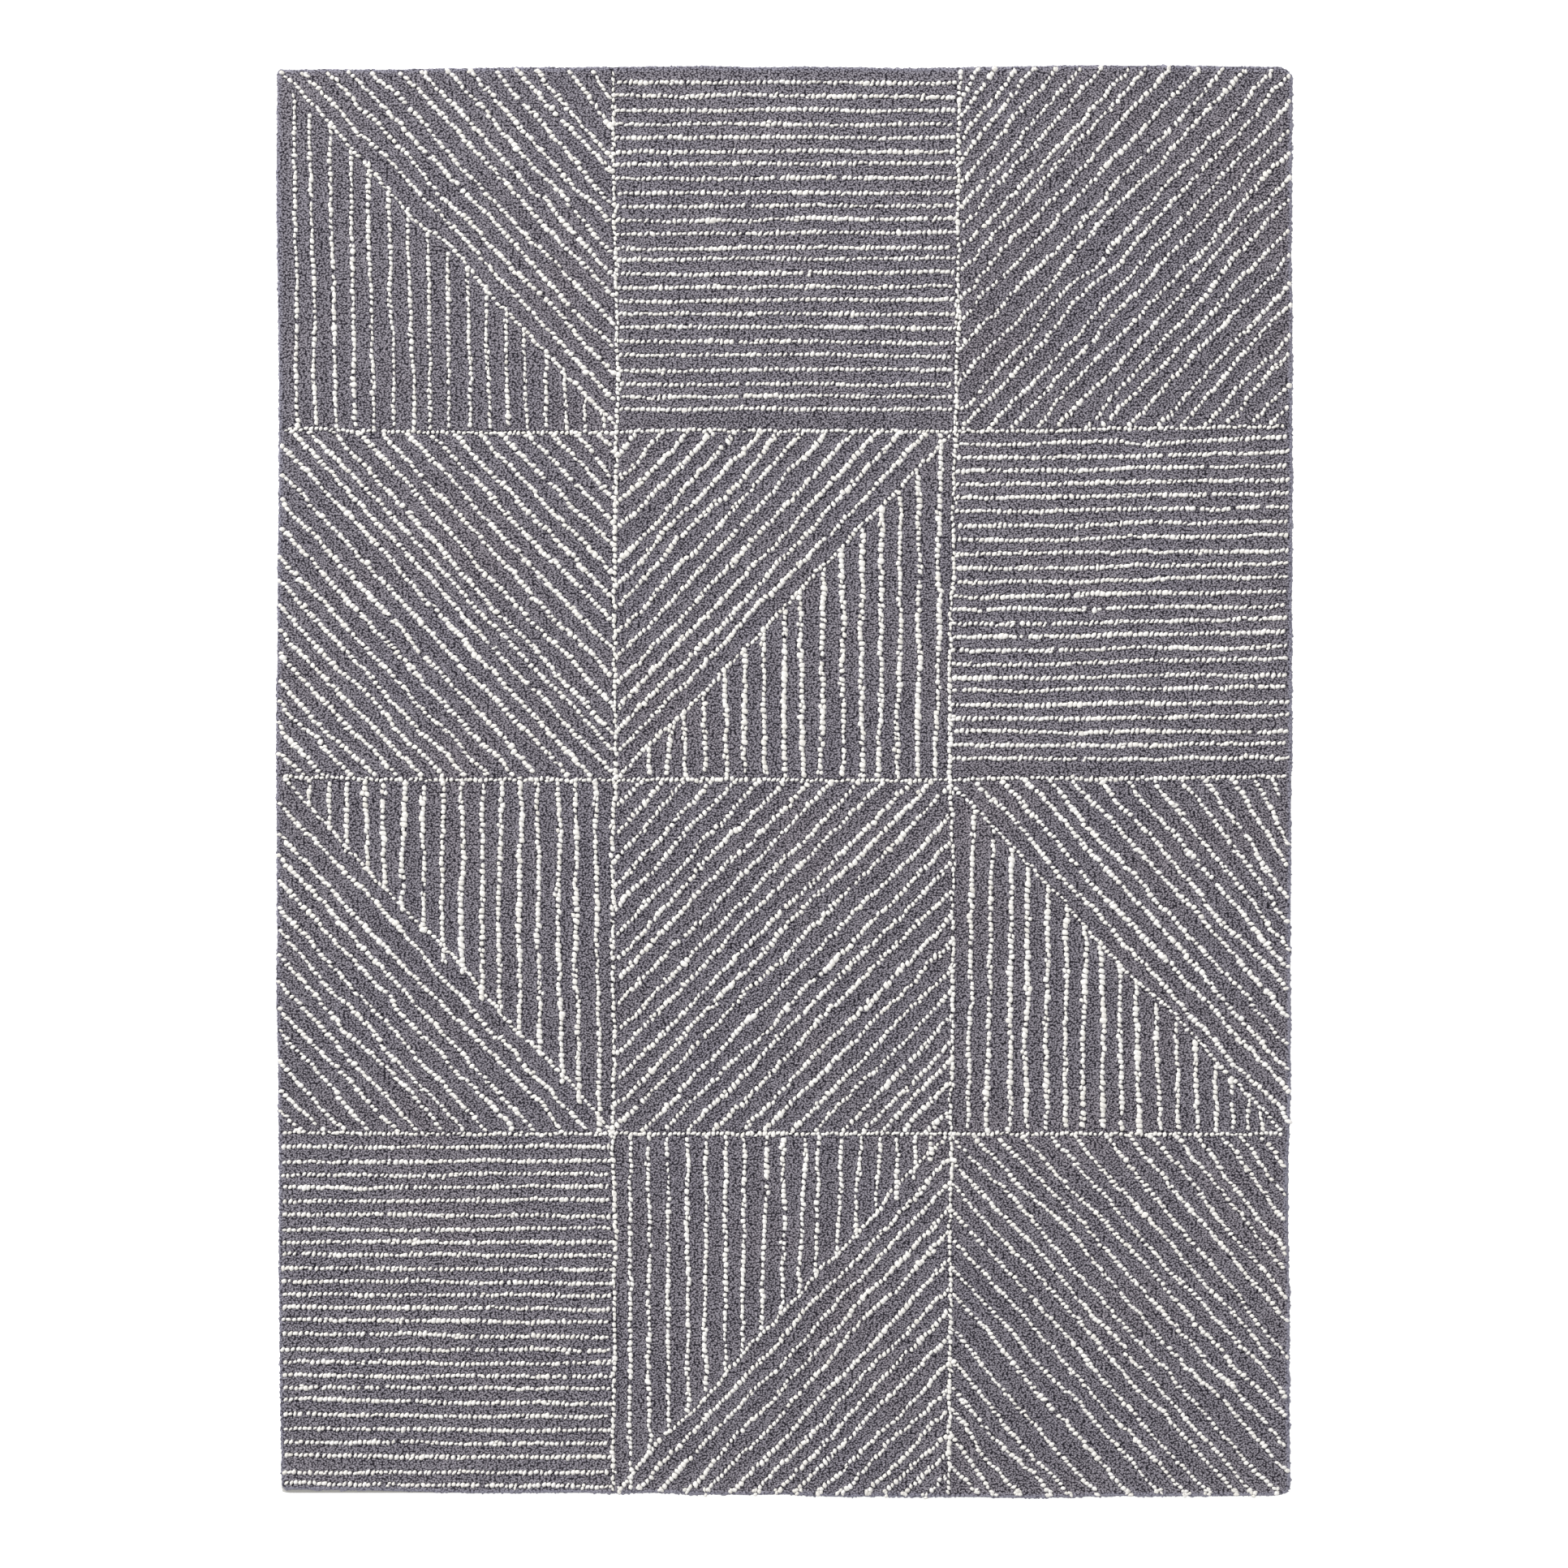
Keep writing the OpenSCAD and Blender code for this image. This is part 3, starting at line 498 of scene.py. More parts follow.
# --------------------------------------------------------------------------
# Ivory loops
# --------------------------------------------------------------------------
def loop_forms(around, along, count, seed):
    """Some puffy loop shapes on the unit sphere: x along the yarn, z up, with the plies twisted round it."""
    rng = np.random.default_rng(seed)
    top = int(round(around * 0.67))
    up = np.radians(np.linspace(-14, 194, top))
    low = np.radians(np.linspace(194, 346, around - top + 2))[1:-1]
    phi = np.concatenate([up, low])
    theta = np.linspace(0, math.pi, along + 2)[1:-1]
    forms = []
    for _ in range(count):
        ph, tw = rng.uniform(0, 6.28), rng.uniform(1.3, 2.4)
        k = rng.normal(0, 1, 8)
        bow, tip = rng.normal(0, 0.12), rng.normal(0, 0.10)
        slant = rng.normal(0.16, 0.22)
        pts = []
        for th in theta:
            x = math.cos(th)
            rad = math.sin(th) ** 0.52
            f = phi
            lump = 1 + 0.095 * (k[0] * np.cos(f + k[1]) * x + k[2] * np.cos(2 * f + k[3]) + k[4] * x)
            ply = 1 + 0.065 * np.cos(3 * f + tw * 2.2 * x + ph)
            cy, cz = np.sign(np.cos(f)) * np.abs(np.cos(f)) ** 0.85, np.sign(np.sin(f)) * np.abs(np.sin(f)) ** 0.75
            y = rad * cy * lump * ply + bow * (x * x - 0.4)
            z = rad * cz * lump * ply + tip * x
            pts.append(np.stack([x + slant * y + 0.07 * k[5] * np.cos(f + k[6]), y, z], 1))
        pts = np.concatenate(pts)
        ends = np.repeat(np.abs(np.cos(theta)), len(phi))
        pts = np.vstack([pts, [[1.0 + slant * bow * 0.6, bow * 0.6, tip], [-1.0 + slant * bow * 0.6, bow * 0.6, -tip]]])
        forms.append(np.column_stack([pts, np.concatenate([ends, [1.0, 1.0]])]))
    tris = []
    for i in range(along - 1):
        for j in range(around):
            a, b = i * around + j, i * around + (j + 1) % around
            c, d = a + around, b + around
            tris += [(a, c, b), (b, c, d)]
    head, tail = along * around, along * around + 1
    for j in range(around):
        b = (j + 1) % around
        tris.append((head, j, b))
        tris.append((tail, (along - 1) * around + b, (along - 1) * around + j))
    tris = np.array(tris)
    # outward faces
    v = forms[0][:, :3]
    vol = np.einsum("ij,ij->i", v[tris[:, 0]], np.cross(v[tris[:, 1]], v[tris[:, 2]])).sum()
    if vol < 0:
        tris = tris[:, ::-1]
    return forms, tris


def lay_loops(path, rng):
    """Centre, half sizes and turn of every loop of one row."""
    n_max = int(path.length / path.pitch * 1.5) + 6
    slow = wave(rng, path.length + 20, 55)
    slower = wave(rng, path.length + 20, 210)
    drift = wave(rng, path.length + 20, 11)
    out = []
    t = rng.uniform(0.2, 0.45) * path.pitch
    for _ in range(n_max):
        if t > path.length - 1.0:
            break
        g = float(np.clip(1 + 0.085 * slow(t) + 0.05 * slower(t), 0.78, 1.22)) * path.small
        kind = rng.random()
        s = rng.normal(1.0, 0.10)
        sink = rng.normal(0, 0.28)
        side = (rng.normal(0, 0.85) + 0.5 * float(drift(t))) * path.tight
        turn = math.radians(path.lean + rng.normal(0, 16))
        step = path.pitch * float(np.clip(rng.normal(1.0, path.uneven), 0.72, 1.4))
        if kind < 0.07:
            s *= rng.uniform(0.66, 0.82)
            side *= 1.4
            step *= 0.86
            sink -= 0.2
        elif kind < 0.12:
            s *= rng.uniform(1.10, 1.20)
            step *= 1.05
        elif kind < 0.130:
            t += 0.8 * path.pitch
            continue
        elif kind < 0.150:
            sink -= 1.6
            s *= 0.8
        half_l = 0.5 * path.size[0] * (0.5 + 0.5 * s * g) * rng.normal(1.0, 0.085)
        half_w = 0.505 * path.size[1] * s * g * rng.normal(1.0, 0.09)
        d_end = min(t if path.edge[0] else 99, (path.length - t) if path.edge[1] else 99)
        dull = 0.0
        if d_end < 16:
            k = 1 - d_end / 16
            sink -= 0.9 * k
            dull = 0.8 * k
        if 0.150 < kind < 0.200 and d_end > 20 and path.small > 0.9:
            # two loops side by side in one place
            gap = 0.62 * half_w
            for sign in (-1, 1):
                out.append((t + sign * rng.uniform(0.3, 1.6), side + sign * gap, half_l * 0.82, half_w * 0.68,
                            sink + rng.normal(0, 0.2), turn + rng.normal(0, 0.2), 0.0))
        else:
            out.append((t, side, max(half_l, 2.0), max(half_w, 1.7), sink, turn, dull))
        t += step
    # rows end in a bunch of loops at the foot edge, now and then at the head edge
    for at_start, where in ((True, path.edge[0]), (False, path.edge[1])):
        if rng.random() < {"s": 0.9, "n": 0.55}.get(where, 0.0):
            for _ in range(rng.integers(2, 5) if where == "s" else rng.integers(1, 3)):
                q = rng.uniform(0.5, 11.0 if where == "s" else 8.0)
                side = rng.uniform(1.4, 5.0 if where == "s" else 2.8) * rng.choice([-1, 1])
                out.append((q if at_start else path.length - q, side, path.size[0] * rng.uniform(0.36, 0.50),
                            path.size[1] * rng.uniform(0.36, 0.52), rng.uniform(-1.0, -0.2),
                            math.radians(path.lean + rng.normal(0, 40)), rng.uniform(0.35, 0.95)))
    return out


def loops_mesh(name, node, rows, seed, limit=190000):
    """All the loops of some rows, and the low yarn run that joins the loops of a row, as one piece."""
    rng = np.random.default_rng(seed)
    laid = []
    for p in rows:
        for (t, side, hl, hw, sink, turn, dull) in lay_loops(p, rng):
            x, y = p.at(np.array([t]))
            x, y = float(x[0]), float(y[0])
            h = float(p.heading(np.array([t]))[0])
            laid.append((x - math.sin(h) * side, y + math.cos(h) * side, hl, hw, sink, h + turn, dull, p.tone))
    laid = np.array(laid)
    n = len(laid)
    run_tris = sum(int(p.length / 6.0) * 8 + 12 for p in rows)
    for around, along in ((14, 7), (13, 7), (12, 7), (12, 6), (11, 6), (10, 6), (10, 5), (9, 5), (8, 5)):
        per = 2 * around + 2 * around * (along - 1)
        if per * n + run_tris <= limit:
            break
    forms, ftris = loop_forms(around, along, 24, 11)
    pick = rng.integers(0, len(forms), n)
    flip = rng.random(n) < 0.5
    vs = np.empty((n, len(forms[0]), 3))
    height = np.clip(3.35 + 0.16 * (laid[:, 3] - 3.2) + rng.normal(0, 0.22, n), 2.4, 4.1)
    for i in range(n):
        f = forms[pick[i]]
        hl, hw, sink, ang = laid[i, 2:6]
        x = f[:, 0] * hl * (-1 if flip[i] else 1)
        y = f[:, 1] * hw * (-1 if flip[i] else 1)
        z = f[:, 2] * height[i]
        ca, sa = math.cos(ang), math.sin(ang)
        vs[i, :, 0] = laid[i, 0] + x * ca - y * sa
        vs[i, :, 1] = laid[i, 1] + x * sa + y * ca
        vs[i, :, 2] = 10.45 + sink + z
    m = len(forms[0])
    tris = (ftris[None] + (np.arange(n) * m)[:, None, None]).reshape(-1, 3)
    verts = vs.reshape(-1, 3)
    # per-loop tone, darker for dull loops at the row ends, plus each row's set tone, which for the rows running
    # head-left to foot-right is painted light
    shade = np.repeat(rng.normal(0, 0.8, n) - 2.4 * laid[:, 6] + laid[:, 7], m)
    # where a loop goes back down into the pile, its two ends and its foot are darkened: painted shade, with some grey
    # pile fibre mixed in
    deep_shade_and_fuzz = np.concatenate([np.clip((forms[pick[i]][:, 3] - 0.62) / 0.38, 0, 1) for i in range(n)])
    deep_shade_and_fuzz = np.maximum(deep_shade_and_fuzz, np.clip((10.6 - verts[:, 2]) / 2.0, 0, 1))
    # the run of yarn at the foot of the loops
    all_v, all_t, base = [verts], [tris], len(verts)
    for p in rows:
        t = np.linspace(1.5, max(p.length - 1.5, 3), max(int(p.length / 6.0), 2))
        x, y = p.at(t)
        h = p.heading(t)
        prof = [(-1.5, 4.4), (1.5, 4.4), (1.7, 7.2), (0.0, 8.1), (-1.7, 7.2)]
        k = len(prof)
        ring = np.stack([np.stack([x - np.sin(h) * a, y + np.cos(h) * a, np.full_like(x, b)], 1) for a, b in prof], 1)
        all_v.append(ring.reshape(-1, 3))
        q = []
        for i in range(len(t) - 1):
            for j in range(k):
                a, b = base + i * k + j, base + i * k + (j + 1) % k
                q += [(a, a + k, b), (b, a + k, b + k)]
        for j in range(1, k - 1):
            q.append((base, base + j, base + j + 1))
            e = base + (len(t) - 1) * k
            q.append((e, e + j + 1, e + j))
        q = np.array(q)
        all_t.append(q[:, ::-1])
        base += len(t) * k
        # the run between the loops lies down in the pile and is darkened all over: painted shade
        shade = np.concatenate([shade, np.full(len(t) * k, -1.0)])
        deep_shade_and_fuzz = np.concatenate([deep_shade_and_fuzz, np.ones(len(t) * k)])
    verts, tris = np.vstack(all_v), np.vstack(all_t)
    return build(name, verts, tris, {"yarn_shade": shade, "yarn_deep_shade_and_fuzz": deep_shade_and_fuzz})


# --------------------------------------------------------------------------
# Grey cut pile
# --------------------------------------------------------------------------
TUFT = 2.8


def lattice(lo, hi, lo_edge, hi_edge, target):
    """Positions of the tuft rows between two borders, closer together at an outer edge of the rug."""
    near = [0.0, 1.1, 2.4, 4.0, 6.0, 8.4]
    head = near if lo_edge else [0.0, 1.6, 3.8]
    tail = near if hi_edge else [0.0, 1.6, 3.8]
    a, b = lo + head[-1], hi - tail[-1]
    n = max(int(round((b - a) / target)), 1)
    mid = np.linspace(a, b, n + 1)
    return np.concatenate([lo + np.array(head[:-1]), mid, hi - np.array(tail[:-1])[::-1]])


def pile_panel(panel, seed):
    r, c = int(panel[1]), int(panel[3])
    rng = np.random.default_rng(seed)
    s0, s1, t0, t1 = COLS[c - 1], COLS[c], ROWS[r], ROWS[r - 1]
    outer = {"w": c == 1, "e": c == 3, "s": r == 4, "n": r == 1}
    S = lattice(s0 + (0 if outer["w"] else 0.12), s1 - (0 if outer["e"] else 0.12), outer["w"], outer["e"], TUFT)
    T = lattice(t0 + (0 if outer["s"] else 0.12), t1 - (0 if outer["n"] else 0.12), outer["s"], outer["n"], TUFT)
    ns, nt = len(S), len(T)
    gs, gt = np.meshgrid(S, T, indexing="ij")
    ds = np.minimum(np.diff(S, prepend=S[0] - 9)[:, None], np.diff(S, append=S[-1] + 9)[:, None]) * np.ones((1, nt))
    dt = np.minimum(np.diff(T, prepend=T[0] - 9)[None, :], np.diff(T, append=T[-1] + 9)[None, :]) * np.ones((ns, 1))
    js = rng.uniform(-1, 1, gs.shape) * 0.34 * ds
    jt = rng.uniform(-1, 1, gs.shape) * 0.34 * dt
    js[0, :] = js[-1, :] = 0
    jt[:, 0] = jt[:, -1] = 0
    jt[0, [0, -1]] = jt[-1, [0, -1]] = 0
    js[[0, -1], 0] = js[[0, -1], -1] = 0
    inner = np.clip(np.minimum.reduce([gs - s0, s1 - gs, gt - t0, t1 - gt]) / 14.0 - 0.3, 0, 1)
    par_i, par_j = (np.indices(gs.shape) % 2) * 2 - 1
    js += inner * (0.24 * TUFT * par_j + 0.35 * field(gs, gt, 13, 91))
    jt += inner * (0.24 * TUFT * par_i + 0.35 * field(gs, gt, 13, 92))
    cs, ct = gs + js, gt + jt
    # the middle of each tuft
    ms = (cs[:-1, :-1] + cs[1:, :-1] + cs[:-1, 1:] + cs[1:, 1:]) / 4
    mt = (ct[:-1, :-1] + ct[1:, :-1] + ct[:-1, 1:] + ct[1:, 1:]) / 4
    cell = np.minimum(np.diff(S)[:, None] * np.ones((1, nt - 1)), np.diff(T)[None, :] * np.ones((ns - 1, 1)))
    ms = ms + rng.uniform(-1, 1, ms.shape) * 0.2 * cell
    mt = mt + rng.uniform(-1, 1, mt.shape) * 0.2 * cell

    allS = np.concatenate([cs.ravel(), ms.ravel()])
    allT = np.concatenate([ct.ravel(), mt.ravel()])
    X, Y = place(allS, allT)
    nc = cs.size
    mid = np.zeros(len(X), bool)
    mid[nc:] = True

    # how near each point is to a row of loops or an ivory line
    d = np.full(len(X), 99.0)
    lit = np.zeros(len(X))
    for p in paths[panel]:
        d = np.minimum(d, p.distance(X, Y))
        lit += p.lit(X, Y)
    # the pile is a little greyer towards the foot, most of all on the left
    u, v = X / HALF_W, Y / HALF_L
    lit -= 0.10 - 0.26 * v + 0.38 * u * v - 0.29 * v * v
    for name, flag, dist in (("w", outer["w"], allS - s0), ("e", outer["e"], s1 - allS), ("s", outer["s"], allT - t0),
                             ("n", outer["n"], t1 - allT)):
        if not flag:
            d = np.minimum(d, np.abs(dist) + 0.4)
    k = np.clip((3.7 - d) / 1.6, 0, 1)
    dip = 2.9 * k * k * (3 - 2 * k)
    # how near the outer edge
    e = np.full(len(X), 99.0)
    for key, dist in (("w", allS + HALF_W), ("e", HALF_W - allS), ("s", allT + HALF_L), ("n", HALF_L - allT)):
        if outer[key]:
            e = np.minimum(e, dist)
    er = np.clip(1 - e / 4.4, 0, 1)
    fall = 3.5 * (1 - np.sqrt(np.clip(1 - er**2, 0, 1)))

    clump = field(X, Y, 4.6, 21) * 0.03 + field(X, Y, 11, 22) * 0.02 + field(X, Y, 60, 23) * 0.08
    z = np.where(mid, 11.7 + rng.normal(0, 0.17, len(X)), 11.1 + rng.normal(0, 0.18, len(X)))
    z = z + clump
    z = z - dip - fall
    z = np.minimum(z, 13.2)
    # tuft middles are paler and the corners between tufts darker: a painted highlight on the tips and painted shade in
    # the valleys
    tip = np.where(mid, rng.normal(0.64, 0.27, len(X)), rng.normal(0.36, 0.27, len(X)))
    # the rim, counted more at the foot and on the right, whose sides face away from the key light: the extra there is
    # painted light
    es = np.full(len(X), 99.0)
    for key, dist in (("e", HALF_W - allS), ("s", allT + HALF_L)):
        if outer[key]:
            es = np.minimum(es, dist)
    edge = np.clip(1 - e / 10.5, 0, 1) * (1 + 0.8 * np.clip(1 - (es - 2) / 6.0, 0, 1))

    def idx(i, j):
        return i * nt + j

    # side walls: rings of points under the border, going round anticlockwise
    ring = [idx(i, 0) for i in range(ns - 1)] + [idx(ns - 1, j) for j in range(nt - 1)] + \
           [idx(i, nt - 1) for i in range(ns - 1, 0, -1)] + [idx(0, j) for j in range(nt - 1, 0, -1)]
    ring = np.array(ring)
    rs, rt = allS[ring], allT[ring]
    out = np.zeros((len(ring), 2))
    on = {"w": np.isclose(rs, S[0]), "e": np.isclose(rs, S[-1]), "s": np.isclose(rt, T[0]), "n": np.isclose(rt, T[-1])}
    for key, vec in (("w", (-1, 0)), ("e", (1, 0)), ("s", (0, -1)), ("n", (0, 1))):
        if outer[key]:
            out[on[key]] += vec
    free = np.hypot(out[:, 0], out[:, 1]) > 0
    out[free] /= np.hypot(out[free, 0], out[free, 1])[:, None]
    fuzz = np.clip(rng.normal(0, 1.0, len(ring)), -1.9, 2.4) * np.where(on["s"] | on["e"], 1.0, 0.75)
    fuzz = fuzz + 0.5 * field(rs, rt, 9, 31)
    fuzz = fuzz + 0.75 * field(rs, rt, 24, 32) * (on["s"] | on["e"])
    fuzz = np.where(free, fuzz, 0.0)
    X[ring] += out[:, 0] * fuzz
    Y[ring] += out[:, 1] * fuzz
    levels = [(6.9, 0.35), (5.4, 0.1), (4.0, -0.7), (2.8, -1.7)]
    vx, vy, vz, vt, ve = [X], [Y], [z], [tip], [edge]
    for lz, lo_ in levels:
        lean = rng.normal(0, 0.22, len(ring))
        vx.append(X[ring] + out[:, 0] * (lo_ + lean))
        vy.append(Y[ring] + out[:, 1] * (lo_ + lean))
        vz.append(np.minimum(np.full(len(ring), lz) + rng.normal(0, 0.12, len(ring)) * (lz > 3), z[ring] - 0.4)
                  if lz > 3 else np.full(len(ring), lz))
        vt.append(rng.normal(0.45, 0.2, len(ring)))
        ve.append(np.full(len(ring), 0.3))
    X2, Y2, Z2 = np.concatenate(vx), np.concatenate(vy), np.concatenate(vz)
    tip_light_and_shade, edge2 = np.concatenate(vt), np.concatenate(ve)
    lit2 = np.zeros(len(X2) + 1)
    lit2[:len(lit)] = lit
    base_mid = len(X2)
    X2 = np.append(X2, X[nc:].mean())
    Y2 = np.append(Y2, Y[nc:].mean())
    Z2 = np.append(Z2, Z_PILE0)
    tip_light_and_shade, edge2 = np.append(tip_light_and_shade, 0.4), np.append(edge2, 0.3)

    i, j = np.meshgrid(np.arange(ns - 1), np.arange(nt - 1), indexing="ij")
    a, b = idx(i, j).ravel(), idx(i + 1, j).ravel()
    cc, dd = idx(i + 1, j + 1).ravel(), idx(i, j + 1).ravel()
    m = nc + (i * (nt - 1) + j).ravel()
    tris = [np.stack([a, b, m], 1), np.stack([b, cc, m], 1), np.stack([cc, dd, m], 1), np.stack([dd, a, m], 1)]
    nr = len(ring)
    prev = ring
    start = len(X)
    nxt = np.roll(np.arange(nr), -1)
    for k in range(len(levels)):
        cur = start + k * nr + np.arange(nr)
        tris.append(np.stack([prev, cur, cur[nxt]], 1))
        tris.append(np.stack([prev, cur[nxt], prev[nxt]], 1))
        prev = cur
    tris.append(np.stack([np.full(nr, base_mid), prev[nxt], prev], 1))
    verts = np.stack([X2, Y2, Z2], 1)
    return build("pile_" + panel, verts, np.vstack(tris), {"tuft": tip_light_and_shade, "rim": edge2, "lit": lit2})


# --------------------------------------------------------------------------
# Materials
# --------------------------------------------------------------------------
class Nodes:
    def __init__(self, name):
        self.mat = bpy.data.materials.new(name)
        self.mat.use_nodes = True
        self.nt = self.mat.node_tree
        self.nt.nodes.clear()
        self.out = self.nt.nodes.new("ShaderNodeOutputMaterial")
        self.bsdf = self.nt.nodes.new("ShaderNodeBsdfPrincipled")
        self.nt.links.new(self.bsdf.outputs[0], self.out.inputs[0])
        self.co = self.nt.nodes.new("ShaderNodeTexCoord").outputs["Object"]

    def link(self, a, b):
        self.nt.links.new(a, b)

    def attr(self, name):
        n = self.nt.nodes.new("ShaderNodeAttribute")
        n.attribute_name = name
        return n.outputs["Fac"]

    def mapped(self, scale=(1, 1, 1), rot=(0, 0, 0), loc=(0, 0, 0)):
        n = self.nt.nodes.new("ShaderNodeMapping")
        n.inputs["Scale"].default_value = scale
        n.inputs["Rotation"].default_value = rot
        n.inputs["Location"].default_value = loc
        self.link(self.co, n.inputs["Vector"])
        return n.outputs[0]

    def noise(self, mm, detail=2.0, rough=0.5, vec=None, dist=0.0):
        n = self.nt.nodes.new("ShaderNodeTexNoise")
        n.inputs["Scale"].default_value = 1000.0 / mm
        n.inputs["Detail"].default_value = detail
        n.inputs["Roughness"].default_value = rough
        n.inputs["Distortion"].default_value = dist
        self.link(vec if vec is not None else self.co, n.inputs["Vector"])
        return n.outputs["Fac"]

    def cells(self, mm, vec=None):
        """A random value for every small cell, about the size of a yarn tip."""
        n = self.nt.nodes.new("ShaderNodeTexVoronoi")
        n.inputs["Scale"].default_value = 1000.0 / mm
        self.link(vec if vec is not None else self.co, n.inputs["Vector"])
        q = self.nt.nodes.new("ShaderNodeSeparateColor")
        self.link(n.outputs["Color"], q.inputs[0])
        return q.outputs[0]

    def spots(self, mm, vec=None):
        """Pale in the middle of every spot and dark between the spots, about 0 to 1."""
        n = self.nt.nodes.new("ShaderNodeTexVoronoi")
        n.voronoi_dimensions = "2D"
        n.inputs["Scale"].default_value = 1000.0 / mm
        self.link(vec if vec is not None else self.co, n.inputs["Vector"])
        return self.math("SUBTRACT", 0.95, n.outputs["Distance"])

    def math(self, op, a, b=0.5, c=0.0, clamp=False):
        n = self.nt.nodes.new("ShaderNodeMath")
        n.operation = op
        n.use_clamp = clamp
        for i, v in enumerate((a, b, c)):
            if i >= len(n.inputs):
                break
            if isinstance(v, (int, float)):
                n.inputs[i].default_value = v
            else:
                self.link(v, n.inputs[i])
        return n.outputs[0]

    def remap(self, v, a, b, c, d):
        n = self.nt.nodes.new("ShaderNodeMapRange")
        n.clamp = True
        for k, q in (("From Min", a), ("From Max", b), ("To Min", c), ("To Max", d)):
            n.inputs[k].default_value = q
        self.link(v, n.inputs["Value"])
        return n.outputs[0]

    def ramp(self, v, stops, interp="LINEAR"):
        n = self.nt.nodes.new("ShaderNodeValToRGB")
        n.color_ramp.interpolation = interp
        el = n.color_ramp.elements
        while len(el) < len(stops):
            el.new(0.5)
        for e_, (p, col) in zip(el, stops):
            e_.position = p
            e_.color = (*col, 1)
        self.link(v, n.inputs[0])
        return n.outputs[0]

    def mix(self, f, a, b, mode="MIX"):
        n = self.nt.nodes.new("ShaderNodeMix")
        n.data_type = "RGBA"
        n.blend_type = mode
        n.clamp_factor = True
        for sock, v in ((n.inputs[0], f), (n.inputs[6], a), (n.inputs[7], b)):
            if isinstance(v, (int, float)):
                sock.default_value = v
            elif isinstance(v, tuple):
                sock.default_value = (*v, 1)
            else:
                self.link(v, sock)
        return n.outputs[2]

    def bump(self, h, mm, strength=1.0):
        n = self.nt.nodes.new("ShaderNodeBump")
        n.inputs["Strength"].default_value = strength
        n.inputs["Distance"].default_value = mm * 0.001
        self.link(h, n.inputs["Height"])
        self.link(n.outputs[0], self.bsdf.inputs["Normal"])

    def set(self, **kw):
        names = {"rough": "Roughness", "spec": "Specular IOR Level", "sheen": "Sheen Weight",
                 "sheen_rough": "Sheen Roughness"}
        for k, v in kw.items():
            self.bsdf.inputs[names[k]].default_value = v


def mat_pile():
    m = Nodes("grey_pile")
    tuft, rim = m.attr("tuft"), m.attr("rim")
    # the grain: a pale middle for every tuft-sized spot and painted shade in the gaps between them
    fine = m.spots(3.4, m.mapped(scale=(0.9, 1.12, 1.0)))
    finer = m.cells(1.35, m.mapped(scale=(0.9, 1.1, 1.0), loc=(0.3, 0.1, 0.0)))
    fibre = m.noise(0.9, 1.0, 0.5)
    clump = m.noise(38.0, 2.0, 0.55)
    # combed streaks near the head corners, where the pile has been brushed over
    lay = m.noise(1.7, 1.0, 0.5, vec=m.mapped(scale=(0.30, 1.0, 1.0), rot=(0, 0, math.radians(-42))))
    # paler tuft tips and darker valleys from the tuft attribute: painted highlight and shade
    f = m.math("MULTIPLY", m.math("SUBTRACT", tuft, 0.5), 0.08)
    f = m.math("ADD", f, m.math("MULTIPLY", m.math("SUBTRACT", fine, 0.5), 1.85))
    f = m.math("ADD", f, m.math("MULTIPLY", m.math("SUBTRACT", finer, 0.5), 0.80))
    f = m.math("ADD", f, m.math("MULTIPLY", m.math("SUBTRACT", fibre, 0.5), 0.5))
    f = m.math("ADD", f, m.math("MULTIPLY", m.math("SUBTRACT", clump, 0.5), 0.26))
    place_ = m.nt.nodes.new("ShaderNodeSeparateXYZ")
    m.link(m.co, place_.inputs[0])
    high = m.remap(place_.outputs["Y"], 0.55, 1.10, 0.0, 1.0)
    wide = m.remap(m.math("ABSOLUTE", place_.outputs["X"]), 0.35, 0.80, 0.0, 1.0)
    where = m.math("MULTIPLY", m.math("MULTIPLY", high, wide), m.remap(m.noise(170, 2.0, 0.5), 0.35, 0.6, 0.0, 1.0))
    streak = m.math("MULTIPLY", m.math("SUBTRACT", lay, 0.5), 0.8)
    f = m.math("ADD", f, m.math("MULTIPLY", streak, where))
    f = m.math("ADD", f, 0.5)
    # the outer rim shows the sides of its tufts: paler and plainer. Paler still at the foot and on the right: painted
    # light, for the key light that those sides don't get.
    pale = m.math("ADD", m.remap(rim, 0.0, 1.0, 0.0, 0.57), m.remap(rim, 1.0, 1.8, 0.0, 0.22))
    f = m.math("ADD", m.math("MULTIPLY", f, m.remap(rim, 0.0, 1.0, 1.0, 0.5)), pale)
    # tufts pushed up against a row catch more light, most of all on its head and left side
    f = m.math("ADD", f, m.math("MULTIPLY", m.attr("lit"), 0.042))
    col = m.ramp(f, [(0.0, (0.0095, 0.0080, 0.0140)), (0.25, (0.034, 0.0295, 0.0395)), (0.5, (0.082, 0.0750, 0.0905)),
                     (0.75, (0.163, 0.1505, 0.1770)), (1.0, (0.298, 0.280, 0.318))])
    # broad, soft differences of tone and warmth between areas of the pile
    tone = m.remap(m.noise(230, 3.0, 0.55), 0.3, 0.7, 0.0, 1.0)
    tint = m.ramp(tone, [(0.0, (0.965, 0.965, 0.985)), (0.5, (1.0, 1.0, 1.0)), (1.0, (1.05, 1.025, 1.01))])
    col = m.mix(1.0, col, tint, "MULTIPLY")
    col = m.mix(m.remap(rim, 0.0, 1.0, 0.0, 1.0), col, m.mix(1.0, col, (0.955, 0.995, 1.075), "MULTIPLY"))
    m.link(col, m.bsdf.inputs["Base Color"])
    m.link(m.remap(fibre, 0.2, 0.8, 0.86, 1.0), m.bsdf.inputs["Roughness"])
    m.set(spec=0.12, sheen=0.10, sheen_rough=0.6)
    h = m.math("ADD", m.noise(1.5, 2.0, 0.6), m.math("MULTIPLY", m.noise(0.7, 1.0, 0.5), 0.5))
    m.bump(h, 0.55, 0.9)
    return m.mat


